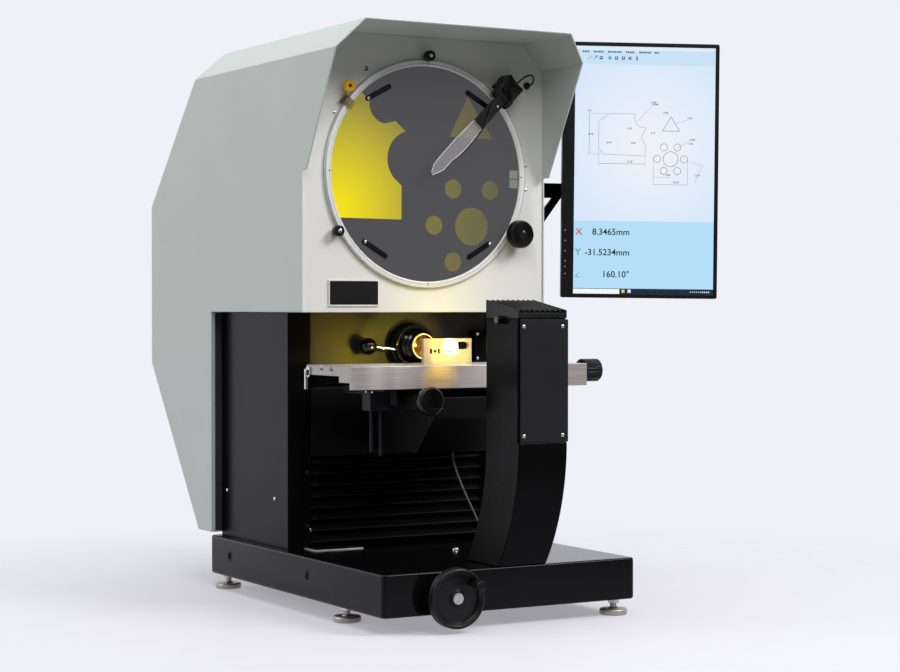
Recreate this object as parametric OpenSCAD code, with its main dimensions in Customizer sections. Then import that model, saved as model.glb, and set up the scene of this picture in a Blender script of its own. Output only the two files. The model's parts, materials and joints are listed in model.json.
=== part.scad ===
// Optical comparator with a horizontal beam: a hooded round screen over a black cabinet,
// a work stage that moves three ways, a lamp arm on the base and a display on a swing arm.
// Frame: X to the right, Y away from the viewer, Z up. X = 0 is the middle of the screen,
// Y = 0 the front of the screen panel and Z = 0 the floor. Lengths are in millimetres.

/* [Base] */
// How far the base stands in from the hood on each side
base_inset = 2; // [0:0.5:10]
// Depth of the base from front to rear
base_d = 728; // [700:1:780]
// Height of the base box
base_h = 74; // [66:1:90]
// How far the base reaches ahead of the screen panel
base_reach = 312; // [300:1:330]
// Thickness of the base side walls
base_wall = 6; // [4:0.5:10]
// Thickness of the base top plate
base_top_t = 8; // [6:0.5:12]
// Radius of the base corners seen from above
base_corner_r = 9; // [4:0.5:16]
// Diameter of the lifting bar holes in the base sides
lift_hole_d = 13; // [8:0.5:20]

/* [Feet] */
// Clear height from the floor to the base
foot_h = 30; // [26:0.5:45]
// Diameter of a foot pad
pad_d = 50; // [36:1:60]
// Height of a foot pad
pad_h = 13; // [8:0.5:15]
// Diameter of the foot stud
stud_d = 12; // [8:0.5:16]
// Width across flats of the lock nut
nut_w = 19; // [18:0.5:28]
// Distance of the foot centres from the base sides
foot_inset = 27; // [24:0.5:45]
// Distance of the front left foot behind the base front
foot_left_back = 186; // [120:1:240]
// Distance of the front right foot behind the base front
foot_right_back = 30; // [26:1:80]

/* [Cabinet] */
// How far the cabinet stands in from the hood on each side
cabinet_inset = 22.5; // [20.5:0.5:34]
// Height of the black cabinet
cabinet_h = 440.5; // [420:0.5:470]
// Distance of the cabinet front behind the screen panel
cabinet_back = 103; // [98:0.5:112]
// Thickness of the cabinet sheet
cabinet_t = 3; // [2:0.5:5]
// Width of the cabinet front flanges
flange_w = 46; // [38:1:54]

/* [Hood] */
// Width of the hood
hood_w = 517; // [505:1:560]
// Height of the hood above the cabinet
hood_h = 514.5; // [500:0.5:540]
// Thickness of the hood sheet
hood_t = 3; // [2:0.5:5]
// Width of the sloped roof edge
roof_edge_w = 45; // [30:1:60]
// Height of the sloped roof edge
roof_edge_h = 50; // [30:1:60]
// Reach of the visor ahead of the screen panel at the roof
visor_reach = 168; // [120:1:200]
// Reach of the visor at its lower end
visor_lip = 21.5; // [12:0.5:30]
// Height of the visor above its lower end
visor_h = 258; // [230:1:275]
// Depth of the roof behind the screen panel
roof_d = 438; // [400:1:460]
// Greatest depth of the hood behind the screen panel
hood_d = 720; // [690:1:760]
// Height of the upright rear wall of the hood
rear_wall_h = 325; // [280:1:360]
// Distance from the roof down to the upright rear wall
rear_slope_h = 296; // [270:1:310]
// Depth at which the rear shroud of the hood begins
shroud_back = 407; // [395:1:420]
// Depth of the flat bottom of the rear shroud
shroud_floor_d = 65; // [40:1:80]

/* [Screen] */
// Visible radius of the screen
screen_r = 200; // [190:0.5:205]
// Height of the screen centre above the cabinet
screen_rise = 257; // [250:0.5:262]
// Radial width of the screen ring
ring_w = 12.6; // [10:0.2:15]
// How far the ring stands proud of the panel
ring_proud = 7; // [5.5:0.5:9]
// Thickness of the screen glass
glass_t = 4; // [3:0.5:5]
// Thickness of the screen panel
panel_t = 8; // [7:0.5:12]
// Radius of the guide rollers where they carry the ring
roller_r = 6; // [5:0.5:8]
// Radius of the roller flanges
roller_flange_r = 10; // [9:0.5:13]
// Diameter of the screen drive knob
drive_knob_d = 53; // [44:1:60]
// Diameter of the ring clamp knob
clamp_knob_d = 22; // [16:0.5:24]
// Length of a chart clip between its end centres
clip_l = 50; // [40:1:60]
// Width of a chart clip
clip_w = 10; // [8:0.5:12]
// Distance of the clip pivots from the screen centre
clip_pivot_r = 184; // [178:0.5:186]
// Length of the edge sensor arm from its hinge to its tip
sensor_l = 210; // [190:1:214]

/* [Lens] */
// Sideways place of the optical axis
axis_x = 18; // [10:0.5:24]
// Distance of the optical axis below the hood
axis_drop = 64.5; // [58:0.5:72]
// Distance of the lens front behind the screen panel
lens_back = 42; // [40:0.5:50]
// Diameter of the lens front ring
lens_front_d = 54; // [48:1:58]
// Diameter of the lens barrel
lens_barrel_d = 68; // [62:1:72]
// Diameter of the lens mount on the wall
lens_mount_d = 86; // [80:1:96]
// Diameter of the lever ball
lever_ball_d = 32; // [24:1:34]
// Distance of the lever ball from the optical axis
lever_l = 98; // [85:1:105]

/* [Stage] */
// Length of the work table
table_l = 494; // [460:1:520]
// Depth of the work table
table_d = 180; // [176:1:188]
// Distance of the table front ahead of the screen panel
table_reach = 142; // [136:1:148]
// Distance of the table top below the optical axis
table_drop = 31; // [28:0.5:40]
// Thickness of the table plate
table_t = 18; // [16:0.5:22]
// Height of the table front lip
lip_h = 41; // [34:0.5:44]
// Thickness of the table front lip
lip_t = 8; // [6:0.5:12]
// Width of the knee
knee_w = 150; // [130:1:170]
// Height of the knee front
knee_front_h = 38; // [30:1:50]
// Height of the knee at the column
knee_rear_h = 105; // [90:1:120]
// Diameter of the column guide rods
guide_d = 24; // [18:0.5:28]
// Diameter of the lift screw
lift_screw_d = 16; // [12:0.5:20]
// Diameter of the lift handwheel
wheel_d = 104; // [90:1:106]
// Height of the handwheel shaft above the floor
wheel_z = 60; // [57:0.5:64]
// Distance of the handwheel shaft to the left of the middle
wheel_left = 130; // [126:0.5:134]
// Diameter of the focus crank disc
crank_d = 51; // [44:1:54]
// Diameter of the cross travel knob
x_knob_d = 43; // [34:1:46]
// Width of the setting plate on the table
plate_w = 102; // [90:1:110]
// Height of the setting plate on the table
plate_h = 47; // [44:1:54]

/* [Lamp arm] */
// Width of the lamp arm
lamp_w = 98; // [86:1:106]
// Depth of the lamp head from front to rear
lamp_d = 110; // [100:1:116]
// How far the lamp head reaches ahead of the base
lamp_overhang = 68; // [50:1:80]
// Height of the curved lower part of the lamp arm
lamp_curve_h = 218; // [205:1:230]
// Height of the lamp head above the optical axis, below the heat sink
lamp_head_rise = 55; // [48:1:64]
// Depth of the lamp arm where it stands on the base
lamp_foot_d = 112; // [96:1:120]
// Fall of the heat sink from rear to front
lamp_top_fall = 18; // [6:1:24]
// Wall thickness of the lamp head
lamp_wall = 6; // [4:0.5:8]
// Thickness of the lamp cover plate
lamp_cover_t = 4; // [2:0.5:6]
// Thickness of the heat sink at its front, below the ribs
sink_t = 8.5; // [6:0.5:16]
// Height of the heat sink ribs
rib_h = 5.5; // [4:0.5:12]
// Number of heat sink ribs
rib_n = 10; // [8:1:12]

/* [Display] */
// Width of the display
display_w = 310; // [290:1:330]
// Height of the display
display_h = 501; // [480:1:540]
// Thickness of the display
display_t = 30; // [24:1:36]
// Width of the wide display bezel on the left
bezel_side_w = 24; // [12:0.5:30]
// Width of the other display bezels
bezel_w = 8; // [6:0.5:16]
// Distance of the display centre from the hood side
display_out = 217; // [205:1:260]
// Height of the display centre above the cabinet
display_rise = 277.5; // [260:0.5:300]
// Angle by which the display faces the user
display_turn = 25; // [5:1:30]
// Skew of the casing on its plate, clockwise, in degrees
display_skew = 0.6; // [0:0.1:2]
// Height of the swing arm bar
arm_h = 24; // [18:1:28]

/* [Hidden] */
$fn = 96;
// Running clearance between a shaft and its bore, and the gap between sliding faces
fit_gap = 0.05;
slide_gap = 0.3;
// Cuts reach past a face by this much
past = 1;
// Open sides of a shell are cut with this much to spare
open_cut = 30;

// Heights and depths that follow from the driving sizes
base_w = hood_w - 2 * base_inset;
cabinet_w = hood_w - 2 * cabinet_inset;
base_top = foot_h + base_h;
base_rear = base_d - base_reach;
base_mid_y = base_d / 2 - base_reach;
hood_bottom = base_top + cabinet_h;
hood_top = hood_bottom + hood_h;
screen_z = hood_bottom + screen_rise;
axis_z = hood_bottom - axis_drop;
table_z = axis_z - table_drop;
wall_z = axis_z - 50;

// Feet: two at the rear and two staggered ones at the front
foot_xy = [
  [-base_w / 2 + foot_inset, foot_left_back - base_reach],
  [base_w / 2 - foot_inset, foot_right_back - base_reach],
  [-base_w / 2 + foot_inset, base_rear - foot_inset],
  [base_w / 2 - foot_inset, base_rear - foot_inset]
];
stud_depth = 30;
nut_h = 9;
boss_r = stud_d / 2 + 7;

// Screen ring, its seat in the panel and the rollers around it
ring_r = screen_r + ring_w;
ring_seat = 4;
ring_lip = 3;
rebate_r = screen_r + 5;
glass_front = ring_lip - ring_proud;
roller_pitch_r = ring_r + roller_r + 0.15;
roller_pin_r = 2.5;
flange_front = ring_proud + 13;
spindle_r = 3;
roller_angles = [90, 210];
drive_angle = 330;
clamp_angle = 137;
sensor_angle = 45;
// Each chart clip: angle of its pivot, and the side that it points to
clips = [[133, -1], [45, 1], [224, 1], [316, -1]];
clip_lean = 15;
clip_pin_r = 2;
clip_t = 2;

// Hood outline seen from the left as (y, z), and from the front as (x, z)
visor_low_z = hood_top - visor_h;
rear_high_z = hood_top - rear_slope_h;
rear_low_z = rear_high_z - rear_wall_h;
shroud_z = base_top + 6;
front_edge = 3;
hood_side = [
  [shroud_back, shroud_z],
  [shroud_back + shroud_floor_d, shroud_z],
  [hood_d, rear_low_z],
  [hood_d, rear_high_z],
  [roof_d, hood_top],
  [-visor_reach, hood_top],
  [-visor_lip, visor_low_z],
  [-front_edge, visor_low_z],
  [-front_edge, hood_bottom],
  [shroud_back, hood_bottom]
];

// Cabinet and column
cabinet_front = cabinet_back;
cabinet_d = shroud_back - cabinet_front - slide_gap;
cabinet_gap_w = cabinet_w - 2 * flange_w;
wall_t = 6;
wall_flange_t = 3;
apron_gap = 4;
apron_y = cabinet_front + cabinet_t + 1;
apron_t = 18;
bellows_t = 2.5;
bellows_pitch = 21;

// Stage heights from the table down to the knee
x_rail_h = 15;
slide_t = 14;
y_rail_h = 10;
slide_top = table_z - table_t - slide_gap - x_rail_h;
y_rail_top = slide_top - slide_t - slide_gap;
knee_top = y_rail_top - y_rail_h;
knee_bottom = knee_top - knee_rear_h;
knee_front_y = 12 - table_reach;
apron_top = knee_top + 12;
apron_bottom = knee_bottom - 12;
slide_left = 168;
slide_right = 146;
slide_inset = 30;
slide_front = slide_inset - table_reach;
slide_d = 130;
x_rail_l = 280;
x_screw_r = 4;
x_screw_y = slide_front + 8;
x_screw_z = table_z - table_t + x_screw_r;
groove_w = 16;
groove_h = 10;

// Focus crank on the left side of the knee
crank_aside = 29.5;
crank_drop = 4.5;
crank_x = axis_x - knee_w / 2 - crank_aside;
crank_z = knee_top - crank_drop;
crank_screw_r = 5;
crank_block_w = 34;
crank_block_y = knee_front_y - 20;
crank_block_d = 55;
crank_neck_l = 14;
crank_front = crank_block_y - crank_neck_l;
crank_t = 14;

// Lift drive: handwheel shaft, miter gears and the upright screw behind the bellows
guide_x = 90;
guide_y = cabinet_front + 67;
screw_top = wall_z - 6;
carriage_y = apron_y + apron_t;
carriage_d = 73;
carriage_w = 320;
frame_top_t = 12;
gear_r = 20;
gear_face = 9;
gear_teeth = 16;
gear_tooth_h = 3.4;
wheel_shaft_r = 8;
wheel_gap = 16;
wheel_depth = 22;
wheel_front = base_reach + wheel_gap + wheel_depth;
grip_r = 36;
grip_angle = 42;
grip_l = 32;
grip_pin_r = 4;

// Lamp arm: the two arcs of its lower part meet the upright head without a kink
lamp_front = -base_reach - lamp_overhang;
lamp_rear = lamp_front + lamp_d;
lamp_foot_rear = lamp_foot_d - base_reach;
lamp_bend_z = base_top + lamp_curve_h;
lamp_head_z = axis_z + lamp_head_rise;
lamp_body_front = lamp_front + lamp_cover_t;
beam_r = 20;

// Mirrors: the beam runs from the lens to the lower mirror, up to the other and to the screen
lens_end_yz = [cabinet_front + 27, axis_z];
low_mirror_in = 120;
top_mirror_in = 250;
top_mirror_rise = 48;
low_mirror_yz = [hood_d - low_mirror_in, axis_z];
top_mirror_yz = [hood_d - top_mirror_in, screen_z + top_mirror_rise];
screen_yz = [0, screen_z];
mirror_t = 8;
low_mirror = [170, 190];
top_mirror = [280, 400];
frame_inset = 31;
frame_x = cabinet_w / 2 - frame_inset;
frame_t = 8;

// Display and its arm
display_x = hood_w / 2 + display_out;
display_y = -10;
display_z = hood_bottom + display_rise;
post_out = 32;
post_y = 150;
arm_z = display_z - 34;
arm_pin_r = 8;
knuckle_r = 16;
knuckle_h = 40;
lug_t = 15;
tilt_back = 42;
tilt_pin_r = 5;
tilt_r = 12;
pan_back = 78;
vesa = 100;
vesa_t = 6;
screen_recess = 2.5;
pan_point = [display_x + pan_back * sin(display_turn), display_y + pan_back * cos(display_turn)];
post_point = [hood_w / 2 + post_out, post_y];

// Cords: routes through points chosen by hand
sensor_cable_r = 1.8;
sensor_cable_route = [
  [168, -34, 972], [168, -40, 972], [172, -46, 976], [182, -49, 985], [194, -47, 991],
  [206, -42, 992], [214, -34, 988], [219, -24, 981], [220, -12, 977], [220, 0, 977]
];
stage_cable_r = 1.8;
stage_cable_route = [
  [40, -30, knee_bottom], [40, -30, knee_bottom - 11], [42, -36, 255], [46, -46, 232], [51, -60, 206],
  [56, -76, 180], [60, -92, 156], [62, -104, 134], [63, -112, 115], [63, -112, 104]
];
cord_sides = 8;

// Point where the lines a-b and c-d cross
function crossing(a, b, c, d) =
  let (u = b - a, v = d - c, w = c - a, k = u[0] * v[1] - u[1] * v[0])
  a + u * ((w[0] * v[1] - w[1] * v[0]) / k);

// Unit normal to the left of the line a-b
function left_of(a, b) = let (u = (b - a) / norm(b - a)) [-u[1], u[0]];

// Outline whose edge i is moved inwards by d[i]; the points run anticlockwise
function inset(p, d) = [
  for (i = [0 : len(p) - 1])
    let (h = (i + len(p) - 1) % len(p), j = (i + 1) % len(p))
    let (n0 = left_of(p[h], p[i]) * d[h], n1 = left_of(p[i], p[j]) * d[i])
    crossing(p[h] + n0, p[i] + n0, p[i] + n1, p[j] + n1)
];

// Front outline of the hood as (x, z), from the height z0 up
function hood_end(z0) = let (w = hood_w / 2) [
  [-w, z0], [w, z0], [w, hood_top - roof_edge_h], [w - roof_edge_w, hood_top],
  [roof_edge_w - w, hood_top], [-w, hood_top - roof_edge_h]
];

// Radius of the arc that leaves an upright line and moves sideways by s over the height h
function bend_r(s, h) = (s * s + h * h) / (2 * s);

// Tilt of the mirror at b that sends a ray from a to c, from the Y axis towards Z
function mirror_tilt(a, b, c) =
  let (n = (a - b) / norm(a - b) + (c - b) / norm(c - b)) atan2(n[1], n[0]);

module round_rect(w, d, r) {
  square([w - 2 * r, d], center = true);
  square([w, d - 2 * r], center = true);
  for (x = [-1, 1], y = [-1, 1])
    translate([x * (w / 2 - r), y * (d / 2 - r)]) circle(r);
}

// A box given by its two corners
module block(low, high) {
  translate(low) cube(high - low);
}

module rod_x(r, x0, x1) {
  translate([x0, 0, 0]) rotate([0, 90, 0]) cylinder(r = r, h = x1 - x0);
}

module rod_y(r, y0, y1) {
  translate([0, y0, 0]) rotate([-90, 0, 0]) cylinder(r = r, h = y1 - y0);
}

module rod_z(r, z0, z1) {
  translate([0, 0, z0]) cylinder(r = r, h = z1 - z0);
}

// Turns an outline of (radius, y) about the Y axis
module turned_y() {
  rotate([-90, 0, 0]) rotate_extrude() children();
}

// Extrudes an outline of (y, z) over the width w, about x = 0
module side_profile(w) {
  rotate([90, 0, 90]) linear_extrude(w, center = true) children();
}

// Extrudes an outline of (x, z) from y0 to y1
module front_profile(y0, y1) {
  translate([0, y1, 0]) rotate([90, 0, 0]) linear_extrude(y1 - y0) children();
}

// Local X runs outwards from the screen centre at the angle a, and local Z along the rim
module on_screen(a) {
  translate([0, 0, screen_z]) rotate([0, -a, 0]) children();
}

module on_axis() {
  translate([axis_x, 0, axis_z]) children();
}

module display_frame() {
  translate([display_x, display_y, display_z]) rotate([0, 0, -display_turn]) children();
}

// A closed tube of constant radius through the points of a route
module cord(route, r) {
  n = len(route);
  m = cord_sides;
  points = [
    for (i = [0 : n - 1])
      let (t = route[min(i + 1, n - 1)] - route[max(i - 1, 0)])
      let (u = cross(t, [1, 0.3, 0.2]), v = cross(t, u))
      for (k = [0 : m - 1])
        route[i] + r * (u / norm(u) * cos(360 * k / m) + v / norm(v) * sin(360 * k / m))
  ];
  sides = [
    for (i = [0 : n - 2], k = [0 : m - 1])
      let (a = i * m + k, b = i * m + (k + 1) % m)
      [a, b, b + m, a + m]
  ];
  ends = [[for (k = [m - 1 : -1 : 0]) k], [for (k = [0 : m - 1]) (n - 1) * m + k]];
  polyhedron(points, concat(sides, ends), convexity = 4);
}

// Base box, open below, with bosses for the feet and a bearing wall for the lift shaft
module base() {
  bearing_y = guide_y - gear_r - gear_face - 16;
  color([0.06, 0.06, 0.065]) difference() {
    union() {
      difference() {
        translate([0, base_mid_y, foot_h]) linear_extrude(base_h)
          round_rect(base_w, base_d, base_corner_r);
        translate([0, base_mid_y, foot_h - past]) linear_extrude(base_h - base_top_t + past)
          round_rect(base_w - 2 * base_wall, base_d - 2 * base_wall, base_corner_r / 2);
      }
      for (f = foot_xy)
        translate([f[0], f[1], 0]) rod_z(boss_r, foot_h, base_top - base_top_t);
      block([-wheel_left - 30, bearing_y, foot_h + 4],
            [-wheel_left + 30, bearing_y + 12, base_top - base_top_t]);
    }
    for (f = foot_xy)
      translate([f[0], f[1], 0]) rod_z(stud_d / 2 + fit_gap, foot_h - past, foot_h + stud_depth);
    for (y = [-22, 321])
      translate([0, y, foot_h + 40]) rod_x(lift_hole_d / 2, -base_w, base_w);
    translate([-wheel_left, 0, wheel_z])
      rod_y(wheel_shaft_r + fit_gap, -base_reach - past, bearing_y + 12 + past);
    translate([-wheel_left, guide_y, 0])
      rod_z(lift_screw_d / 2 + fit_gap, base_top - base_top_t - past, base_top + past);
  }
}

// Levelling foot: a turned pad with its stud
module foot(i) {
  edge = 2;
  color([0.72, 0.72, 0.7]) translate([foot_xy[i][0], foot_xy[i][1], 0]) rotate_extrude()
    polygon([
      [0, 0], [pad_d / 2 - edge, 0], [pad_d / 2, edge], [pad_d / 2, pad_h - edge - 2],
      [pad_d / 2 - edge, pad_h - 2], [stud_d / 2 + 4, pad_h - 2], [stud_d / 2 + 3, pad_h],
      [stud_d / 2, pad_h], [stud_d / 2, foot_h + stud_depth - past], [0, foot_h + stud_depth - past]
    ]);
}

module foot_locknuts() {
  color([0.75, 0.75, 0.72]) for (f = foot_xy) translate([f[0], f[1], 0]) difference() {
    translate([0, 0, foot_h - nut_h]) cylinder(d = nut_w / cos(30), h = nut_h, $fn = 6);
    rod_z(stud_d / 2 + fit_gap, foot_h - nut_h - past, foot_h + past);
  }
}

// Cabinet side panel with its front flange; side is -1 for the left one
module cabinet_panel(side) {
  x1 = side * cabinet_w / 2;
  x0 = x1 - side * cabinet_t;
  xf = x1 - side * flange_w;
  color([0.055, 0.055, 0.06]) {
    block([min(x0, x1), cabinet_front, base_top],
          [max(x0, x1), cabinet_front + cabinet_d, hood_bottom]);
    block([min(x1, xf), cabinet_front, base_top],
          [max(x1, xf), cabinet_front + cabinet_t, hood_bottom]);
  }
}

// Wall that carries the lens, bent forward at its top to close the hood from below
module lens_wall() {
  wall_w = cabinet_gap_w - 2 * slide_gap;
  floor_w = cabinet_w - 2 * slide_gap;
  color([0.09, 0.09, 0.08]) difference() {
    union() {
      block([-wall_w / 2, cabinet_front, wall_z],
            [wall_w / 2, cabinet_front + wall_t, hood_bottom + wall_flange_t]);
      block([-floor_w / 2, panel_t + slide_gap, hood_bottom],
            [floor_w / 2, cabinet_front + wall_t, hood_bottom + wall_flange_t]);
    }
    on_axis() rod_y(lens_barrel_d / 2 - 4, cabinet_front - past, cabinet_front + wall_t + past);
  }
}

// Inner frame: two side plates with the carriers of the mirrors and the top bearing plate
module inner_frame() {
  low = cabinet_front + 27;
  rear = shroud_back - 7;
  tilt_low = mirror_tilt(lens_end_yz, low_mirror_yz, top_mirror_yz);
  tilt_top = mirror_tilt(low_mirror_yz, top_mirror_yz, screen_yz);
  top_plate_z = screw_top - frame_top_t;
  color([0.2, 0.21, 0.22]) difference() {
    union() {
      for (x = [-frame_x, frame_x]) translate([x, 0, 0]) side_profile(frame_t)
        polygon([
          [low, base_top], [rear, base_top], [rear, axis_z - 90], [hood_d - 70, axis_z - 90],
          [hood_d - 50, screen_z - 60], [roof_d, hood_top - 60], [roof_d - 160, hood_top - 60],
          [low, hood_bottom + 20]
        ]);
      mirror_carrier(low_mirror_yz, tilt_low, low_mirror[1]);
      mirror_carrier(top_mirror_yz, tilt_top, top_mirror[1]);
      block([-frame_x, carriage_y + 5, top_plate_z], [frame_x, guide_y + 50, screw_top]);
    }
    for (x = [-guide_x, guide_x]) translate([axis_x + x, guide_y, 0])
      rod_z(guide_d / 2, top_plate_z - past, screw_top + past);
    translate([-wheel_left, guide_y, 0])
      rod_z(lift_screw_d / 2 + fit_gap, top_plate_z - past, screw_top + past);
  }
}

module mirror_carrier(at, tilt, l) {
  translate([0, at[0], at[1]]) rotate([tilt, 0, 0])
    block([-frame_x, -mirror_t - frame_t, -l / 2], [frame_x, -mirror_t, l / 2]);
}

module mirrors() {
  tilt_low = mirror_tilt(lens_end_yz, low_mirror_yz, top_mirror_yz);
  tilt_top = mirror_tilt(low_mirror_yz, top_mirror_yz, screen_yz);
  color([0.8, 0.85, 0.88]) {
    translate([0, low_mirror_yz[0], low_mirror_yz[1]]) rotate([tilt_low, 0, 0])
      block([-low_mirror[0] / 2, -mirror_t, -low_mirror[1] / 2], [low_mirror[0] / 2, 0, low_mirror[1] / 2]);
    translate([0, top_mirror_yz[0], top_mirror_yz[1]]) rotate([tilt_top, 0, 0])
      block([-top_mirror[0] / 2, -mirror_t, -top_mirror[1] / 2], [top_mirror[0] / 2, 0, top_mirror[1] / 2]);
  }
}

module guide_rods() {
  color([0.7, 0.7, 0.72]) for (x = [-guide_x, guide_x]) translate([axis_x + x, guide_y, 0])
    rod_z(guide_d / 2, base_top, screw_top);
}

// Pleated cover between two heights
module bellows(z0, z1) {
  folds = max(1, round((z1 - z0) / bellows_pitch));
  step = (z1 - z0) / (2 * folds);
  y_out = apron_y + 1;
  y_in = apron_y + apron_t - bellows_t - 1;
  front = [for (i = [0 : 2 * folds]) [i % 2 == 0 ? y_in : y_out, z0 + i * step]];
  back = [for (i = [2 * folds : -1 : 0]) front[i] + [bellows_t, 0]];
  color([0.05, 0.05, 0.055]) side_profile(cabinet_gap_w - 2 * apron_gap - 4)
    polygon(concat(front, back));
}

module upper_bellows() {
  bellows(apron_top, wall_z);
}

module lower_bellows() {
  bellows(base_top, apron_bottom);
}

// Hood: a folded shell with a raked visor, open to the front and below
module hood() {
  t = hood_t;
  o = -open_cut;
  inner_w = hood_w / 2 - t;
  color([0.60, 0.645, 0.62]) {
    difference() {
      intersection() {
        side_profile(hood_w) polygon(hood_side);
        front_profile(-visor_reach, hood_d) polygon(hood_end(shroud_z));
      }
      intersection() {
        side_profile(hood_w) polygon(inset(hood_side, [t, t, t, t, t, o, o, o, o, o]));
        front_profile(-visor_reach - open_cut, hood_d)
          polygon(inset(hood_end(shroud_z), [o, t, t, t, t, t]));
      }
    }
    for (s = [-1, 1]) {
      x0 = s > 0 ? cabinet_w / 2 + slide_gap : -inner_w;
      x1 = s > 0 ? inner_w : -cabinet_w / 2 - slide_gap;
      block([x0, panel_t + slide_gap, hood_bottom], [x1, shroud_back + t, hood_bottom + t]);
      block([x0, shroud_back, shroud_z], [x1, shroud_back + t, hood_bottom + t]);
    }
  }
}

// Screen panel with the seat of the ring, the roller pins and the spindle bores
module screen_panel() {
  outline = inset(hood_end(hood_bottom),
                  [0, hood_t + slide_gap, hood_t + slide_gap, hood_t + slide_gap,
                   hood_t + slide_gap, hood_t + slide_gap]);
  color([0.80, 0.805, 0.79]) {
    difference() {
      front_profile(0, panel_t) polygon(outline);
      on_screen(0) rod_y(screen_r - 2, -past, panel_t + past);
      on_screen(0) rod_y(ring_r + slide_gap * 2, -past, ring_seat);
      on_screen(drive_angle) translate([roller_pitch_r, 0, 0])
        rod_y(spindle_r + fit_gap, -past, panel_t + past);
      on_screen(clamp_angle) translate([ring_r + clamp_knob_d / 2 + 3.5, 0, 0])
        rod_y(spindle_r + fit_gap, -past, panel_t + past);
    }
    for (a = roller_angles) on_screen(a) translate([roller_pitch_r, 0, 0])
      rod_y(roller_pin_r, -flange_front + 2, past);
  }
}

// Screen ring with a lip ahead of the glass and a rebate behind it
module screen_ring() {
  back = ring_seat - slide_gap;
  bevel = 2;
  color([0.85, 0.86, 0.85]) on_screen(0) turned_y() polygon([
    [screen_r, -ring_proud + bevel], [screen_r + bevel, -ring_proud], [ring_r - bevel, -ring_proud],
    [ring_r, -ring_proud + bevel], [ring_r, back], [rebate_r, back], [rebate_r, glass_front],
    [screen_r, glass_front]
  ]);
}

module screen_glass() {
  color([0.28, 0.28, 0.29]) difference() {
    on_screen(0) rod_y(rebate_r, glass_front, glass_front + glass_t);
    for (c = clips) on_screen(c[0]) translate([clip_pivot_r, 0, 0])
      rod_y(clip_pin_r + fit_gap, glass_front - past, glass_front + glass_t + past);
  }
}

// Spring clip that holds a chart: a flat bar turning on its own pin
module chart_clip(i) {
  dir = clips[i][1];
  front = glass_front - 0.4;
  color([0.06, 0.06, 0.06]) on_screen(clips[i][0]) translate([clip_pivot_r, 0, 0]) {
    rotate([0, -dir * clip_lean, 0]) front_profile(front - clip_t, front) {
      circle(clip_w / 2);
      translate([0, dir * clip_l]) circle(clip_w / 2);
      translate([-clip_w / 2, min(0, dir * clip_l)]) square([clip_w, clip_l]);
    }
    rod_y(clip_pin_r, front - clip_t, glass_front + glass_t);
    turned_y() polygon([
      [0, front - clip_t - 3], [2.5, front - clip_t - 2.5], [4, front - clip_t - 1],
      [4, front - clip_t], [0, front - clip_t]
    ]);
  }
}

// Guide roller: a stem that carries the ring and a flange that holds it back
module roller(a) {
  color([0.05, 0.05, 0.05]) on_screen(a) translate([roller_pitch_r, 0, 0]) turned_y() polygon([
    [roller_pin_r + fit_gap, -flange_front], [roller_flange_r - 1.5, -flange_front],
    [roller_flange_r, -flange_front + 1.5], [roller_flange_r, -ring_proud - slide_gap * 2],
    [roller_r, -ring_proud - slide_gap], [roller_r, -slide_gap], [roller_pin_r + fit_gap, -slide_gap]
  ]);
}

// Knob that turns the screen: a dished disc, its drive stem and the spindle in the panel
module drive_knob() {
  r = drive_knob_d / 2;
  back = ring_proud + 10;
  front = back + 18;
  color([0.05, 0.05, 0.055]) on_screen(drive_angle) translate([roller_pitch_r, 0, 0])
    turned_y() polygon([
      [0, -front - 1], [5, -front - 1], [6, -front], [7, -front + 3], [r - 6, -front + 1],
      [r - 3, -front], [r - 1, -front + 1], [r, -front + 4], [r, -back - 3], [r - 3, -back],
      [roller_flange_r, -back], [roller_flange_r, -ring_proud - slide_gap * 2],
      [roller_r, -ring_proud - slide_gap], [roller_r, -slide_gap], [spindle_r, -slide_gap],
      [spindle_r, panel_t + 4], [0, panel_t + 4]
    ]);
}

// Clamp knob for the ring, on its spindle
module clamp_knob() {
  r = clamp_knob_d / 2;
  color([0.95, 0.6, 0.05]) on_screen(clamp_angle) translate([ring_r + r + 3.5, 0, 0])
    turned_y() polygon([
      [0, -12], [2.5, -12], [2.5, -15], [r - 2, -15], [r, -13], [r, -7], [r - 2, -6],
      [spindle_r + 2, -6], [spindle_r + 2, -slide_gap], [spindle_r, -slide_gap],
      [spindle_r, panel_t + 4], [0, panel_t + 4]
    ]);
}

// Reading plate over the ring, on its foot beside the ring
module vernier_plate() {
  tab = 18;
  lift = ring_proud + 0.8;
  color([0.62, 0.58, 0.30]) on_screen(clamp_angle + 6) {
    block([screen_r - 3, -lift - 1.6, -tab / 2], [ring_r + 9, -lift, tab / 2]);
    block([ring_r + 2, -lift, -tab / 2], [ring_r + 9, 0, tab / 2]);
  }
}

// Hinge bracket of the edge sensor, standing on the panel and reaching over the ring
module sensor_bracket() {
  hinge = [sensor_l - 2, -30];
  lug = 12;
  foot = [ring_r + 8, ring_r + 38];
  color([0.05, 0.05, 0.055]) on_screen(sensor_angle) {
    block([foot[0], -34, -lug - 8], [foot[1], 0, lug + 8]);
    for (z = [-lug - 8, lug]) {
      translate([hinge[0], hinge[1], z]) rotate([0, 0, 22.5]) cylinder(r = 12, h = 8, $fn = 8);
      block([hinge[0], -36, z], [foot[1], -22, z + 8]);
    }
    translate([hinge[0], hinge[1], 0]) rod_z(3, -lug - past, lug + past);
  }
}

// Sensor arm: a hinge barrel with a tapering plate
module sensor_arm() {
  hinge = [sensor_l - 2, -30];
  color([0.06, 0.06, 0.065]) on_screen(sensor_angle) translate([hinge[0], hinge[1], 0])
    difference() {
      union() {
        rod_z(8, -11.7, 11.7);
        front_profile(-5, 0)
          polygon([[0, -11.7], [0, 11.7], [-30, 11.7], [-110, 7], [-110, -2], [-40, -11.7]]);
      }
      rod_z(3 + fit_gap, -11.7 - past, 11.7 + past);
    }
}

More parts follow.
